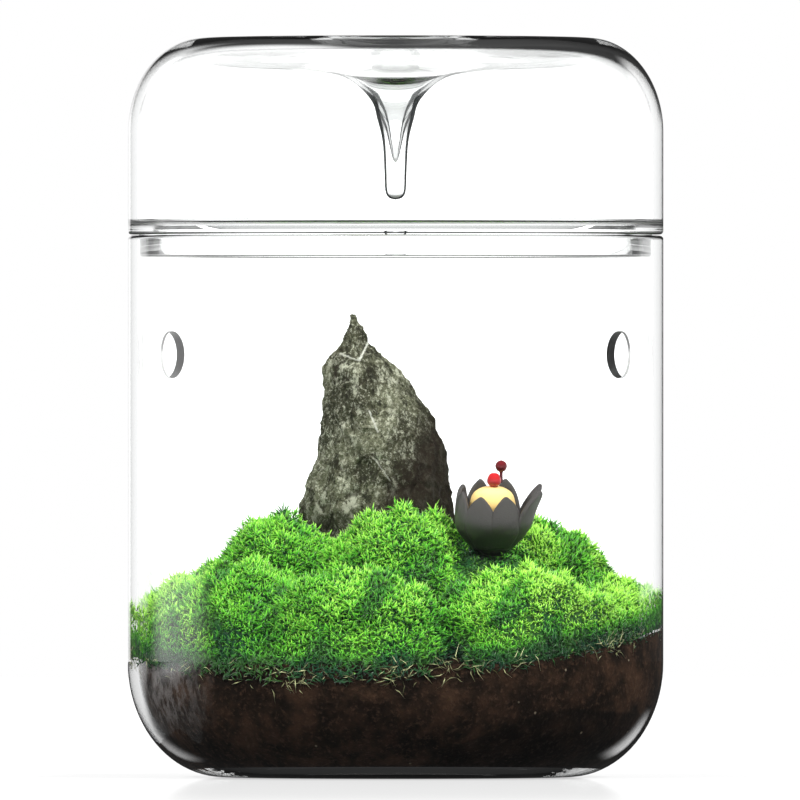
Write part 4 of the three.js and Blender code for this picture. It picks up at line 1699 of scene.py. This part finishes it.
@dataclass
class Studio:
    """A pale floor, soft light and the photograph's camera."""

    frame_width: float = 179.2
    distance: float = 6950
    centre_x: float = 1.0
    centre_z: float = 84.4
    sensor: float = 36
    backdrop: float = 1.9
    fill: float = 0.65
    dim: float = 0.045
    strip_level: float = 2.35

    BOXES = (
        SoftBox("key_box", (-0.75, -0.75, 1.2), 0.3, 33), SoftBox("right_box", (0.75, -0.65, 1.1), 0.4, 34))
    STRIP = Patch(-71, 0, 27, 0)
    # what the outer glass mirrors: the strip's upper end, a window behind, and light by the floor
    OUTER = (Patch(-72, 22, 16, 4, 1.2), Patch(-140, 55, 20, 14, 5.0), Patch(-7, 0, 11, 8, 1.1))
    # what the inner glass mirrors: panels on the left and right, level and overhead
    PANELS = (
        Patch(-18, 0, 26, 20, 1.25), Patch(-44, 38, 34, 22, 1.25), Patch(25, 0, 23, 17, 1.25),
        Patch(60, 40, 30, 16, 1.25))

    def floor(self, finish: PaleFloor) -> None:
        """Lays the plain floor.

        Args:
            finish: the floor's.
        """
        deselect()
        bpy.ops.mesh.primitive_circle_add(
            vertices=96, radius=2.5, fill_type="NGON", location=(0, 0, -0.0001))
        floor = named("studio_floor")
        floor.data.materials.append(finish.material())

    def light(self, box: SoftBox) -> None:
        """Hangs a soft box.

        Args:
            box: its name, place, width and power.
        """
        lamp = bpy.data.lights.new(box.name, "AREA")
        lamp.shape, lamp.size, lamp.energy = "SQUARE", box.width, box.power
        light = bpy.data.objects.new(box.name, lamp)
        bpy.context.collection.objects.link(light)
        light.location = box.place
        away = Vector(box.place) - Vector((0, 0, 0.05))
        light.rotation_euler = away.to_track_quat("Z", "Y").to_euler()
        light.visible_camera = light.visible_glossy = light.visible_transmission = False

    def sky(self) -> None:
        """White for the camera and behind the glass; dark where the glass would mirror it."""
        world = bpy.data.worlds.new("studio_sky")
        bpy.context.scene.world = world
        world.use_nodes = True
        book = NodeBook(world.node_tree)
        way = book.add("ShaderNodeTexCoord", {}, {}, "Generated")
        aside, ahead, height = (book.add("ShaderNodeSeparateXYZ", {}, {0: way}, name) for name in "XYZ")
        inner = book.at_least(1, "Transmission Depth")
        deep = book.at_least(3, "Transmission Depth")
        strip = self.STRIP.share(book) ** 2 * self.strip_level
        outer = sum((patch.share(book) for patch in self.OUTER), strip)
        panels = sum((patch.share(book) for patch in self.PANELS), height.ramp(0.75, 0.95) * 0.3)
        gap = (aside / ahead).band(-0.18, -0.07, 0.16, 0.23) * ahead.ramp(0, 0.1)
        gap = gap * height.band(0.02, 0.06, 0.75, 0.82)
        mirrored = self.dim + outer * (1 - inner) + inner * (panels * (1 - gap) + gap * 0.03)
        mirrored = mirrored + deep * (1.35 - height.ramp(0.12, 0.4) * 1.2 - mirrored)
        behind = self.backdrop * (1 - height.ramp(0.18, 0.5) * 0.85)
        seen = behind + book.at_least(1, "Glossy Depth") * (mirrored - behind)
        direct = (1 - book.at_least(1, "Diffuse Depth")) * book.path("Is Glossy Ray")
        level = self.fill + direct * (seen - self.fill)
        level = level + book.path("Is Camera Ray") * (1 - level)
        grey = book.add("ShaderNodeCombineColor", {}, {0: level, 1: level, 2: level})
        back = book.add("ShaderNodeBackground", {}, {"Color": grey, "Strength": 1.0})
        book.surface(back, "ShaderNodeOutputWorld")

    def camera(self) -> None:
        """Sets up a long lens, level with the middle of the jar."""
        lens = bpy.data.cameras.new("front_camera")
        lens.sensor_width = self.sensor
        lens.lens = self.sensor * self.distance / self.frame_width
        lens.clip_start, lens.clip_end = 0.05, 20
        camera = bpy.data.objects.new("front_camera", lens)
        bpy.context.collection.objects.link(camera)
        camera.location = (self.centre_x * MM, -self.distance * MM, self.centre_z * MM)
        camera.rotation_euler = (math.pi / 2, 0, 0)
        bpy.context.scene.camera = camera

    def build(self, finish: PaleFloor) -> None:
        """Sets the whole studio up.

        Args:
            finish: the floor's.
        """
        self.camera()
        self.sky()
        for box in self.BOXES:
            self.light(box)
        self.floor(finish)
        scene = bpy.context.scene
        scene.view_settings.view_transform = "Standard"
        scene.cycles.transparent_max_bounces = 24
        scene.cycles.transmission_bounces = 16
        scene.cycles.max_bounces = 18
        scene.cycles.glossy_bounces = 18


def main() -> None:
    """Builds the terrarium piece by piece and reports each piece."""
    logging.basicConfig(level=logging.INFO, format="%(name)s: %(message)s")
    Studio().build(PaleFloor())
    jar = GlassJar()
    soil = SoilBed(jar)
    ornament = LotusOrnament()
    charcoal = SatinLacquer("charcoal_lacquer", (0.062, 0.058, 0.056), (0.012, 0.011, 0.011), 0.42, 49, 62)
    cream = SatinLacquer("cream_lacquer", (0.86, 0.62, 0.24), (0.55, 0.36, 0.12), 0.45, 58, 64)
    red = SatinLacquer("red_lacquer", (0.46, 0.016, 0.018), (0.27, 0.008, 0.01), 0.3, 64, 68, coat=0.4)
    dark_red = SatinLacquer("dark_red_lacquer", (0.12, 0.008, 0.012), (0.04, 0.004, 0.006), 0.32, 66, 70)
    lid_glass = ClearGlass("lid_clear_glass", clear_below=123.5)
    pieces = [
        soil.build(DarkSoil()),
        StandingStone().build(GreyStone()),
        *MossCarpet(jar, soil).build(MossLeaf()),
        ornament.build_cup(charcoal),
        ornament.build_turned(ornament.POD, cream),
        ornament.build_turned(ornament.BEAD, red),
        ornament.build_turned(ornament.BUD, dark_red),
        # the vents' bore is tinted grey and the lid's ledge and seat black: painted shade
        jar.build(ClearGlass("jar_clear_glass"), GroundGlass("ground_vents", (0.45, 0.45, 0.45))),
        GlassLid(jar).build(lid_glass, GroundGlass("seat_painted_shade", (0.001, 0.001, 0.001), shine=0.0))]
    for piece in pieces:
        log.info("%s: %d faces", piece.name, len(piece.data.polygons))


if __name__ == "__main__":
    main()
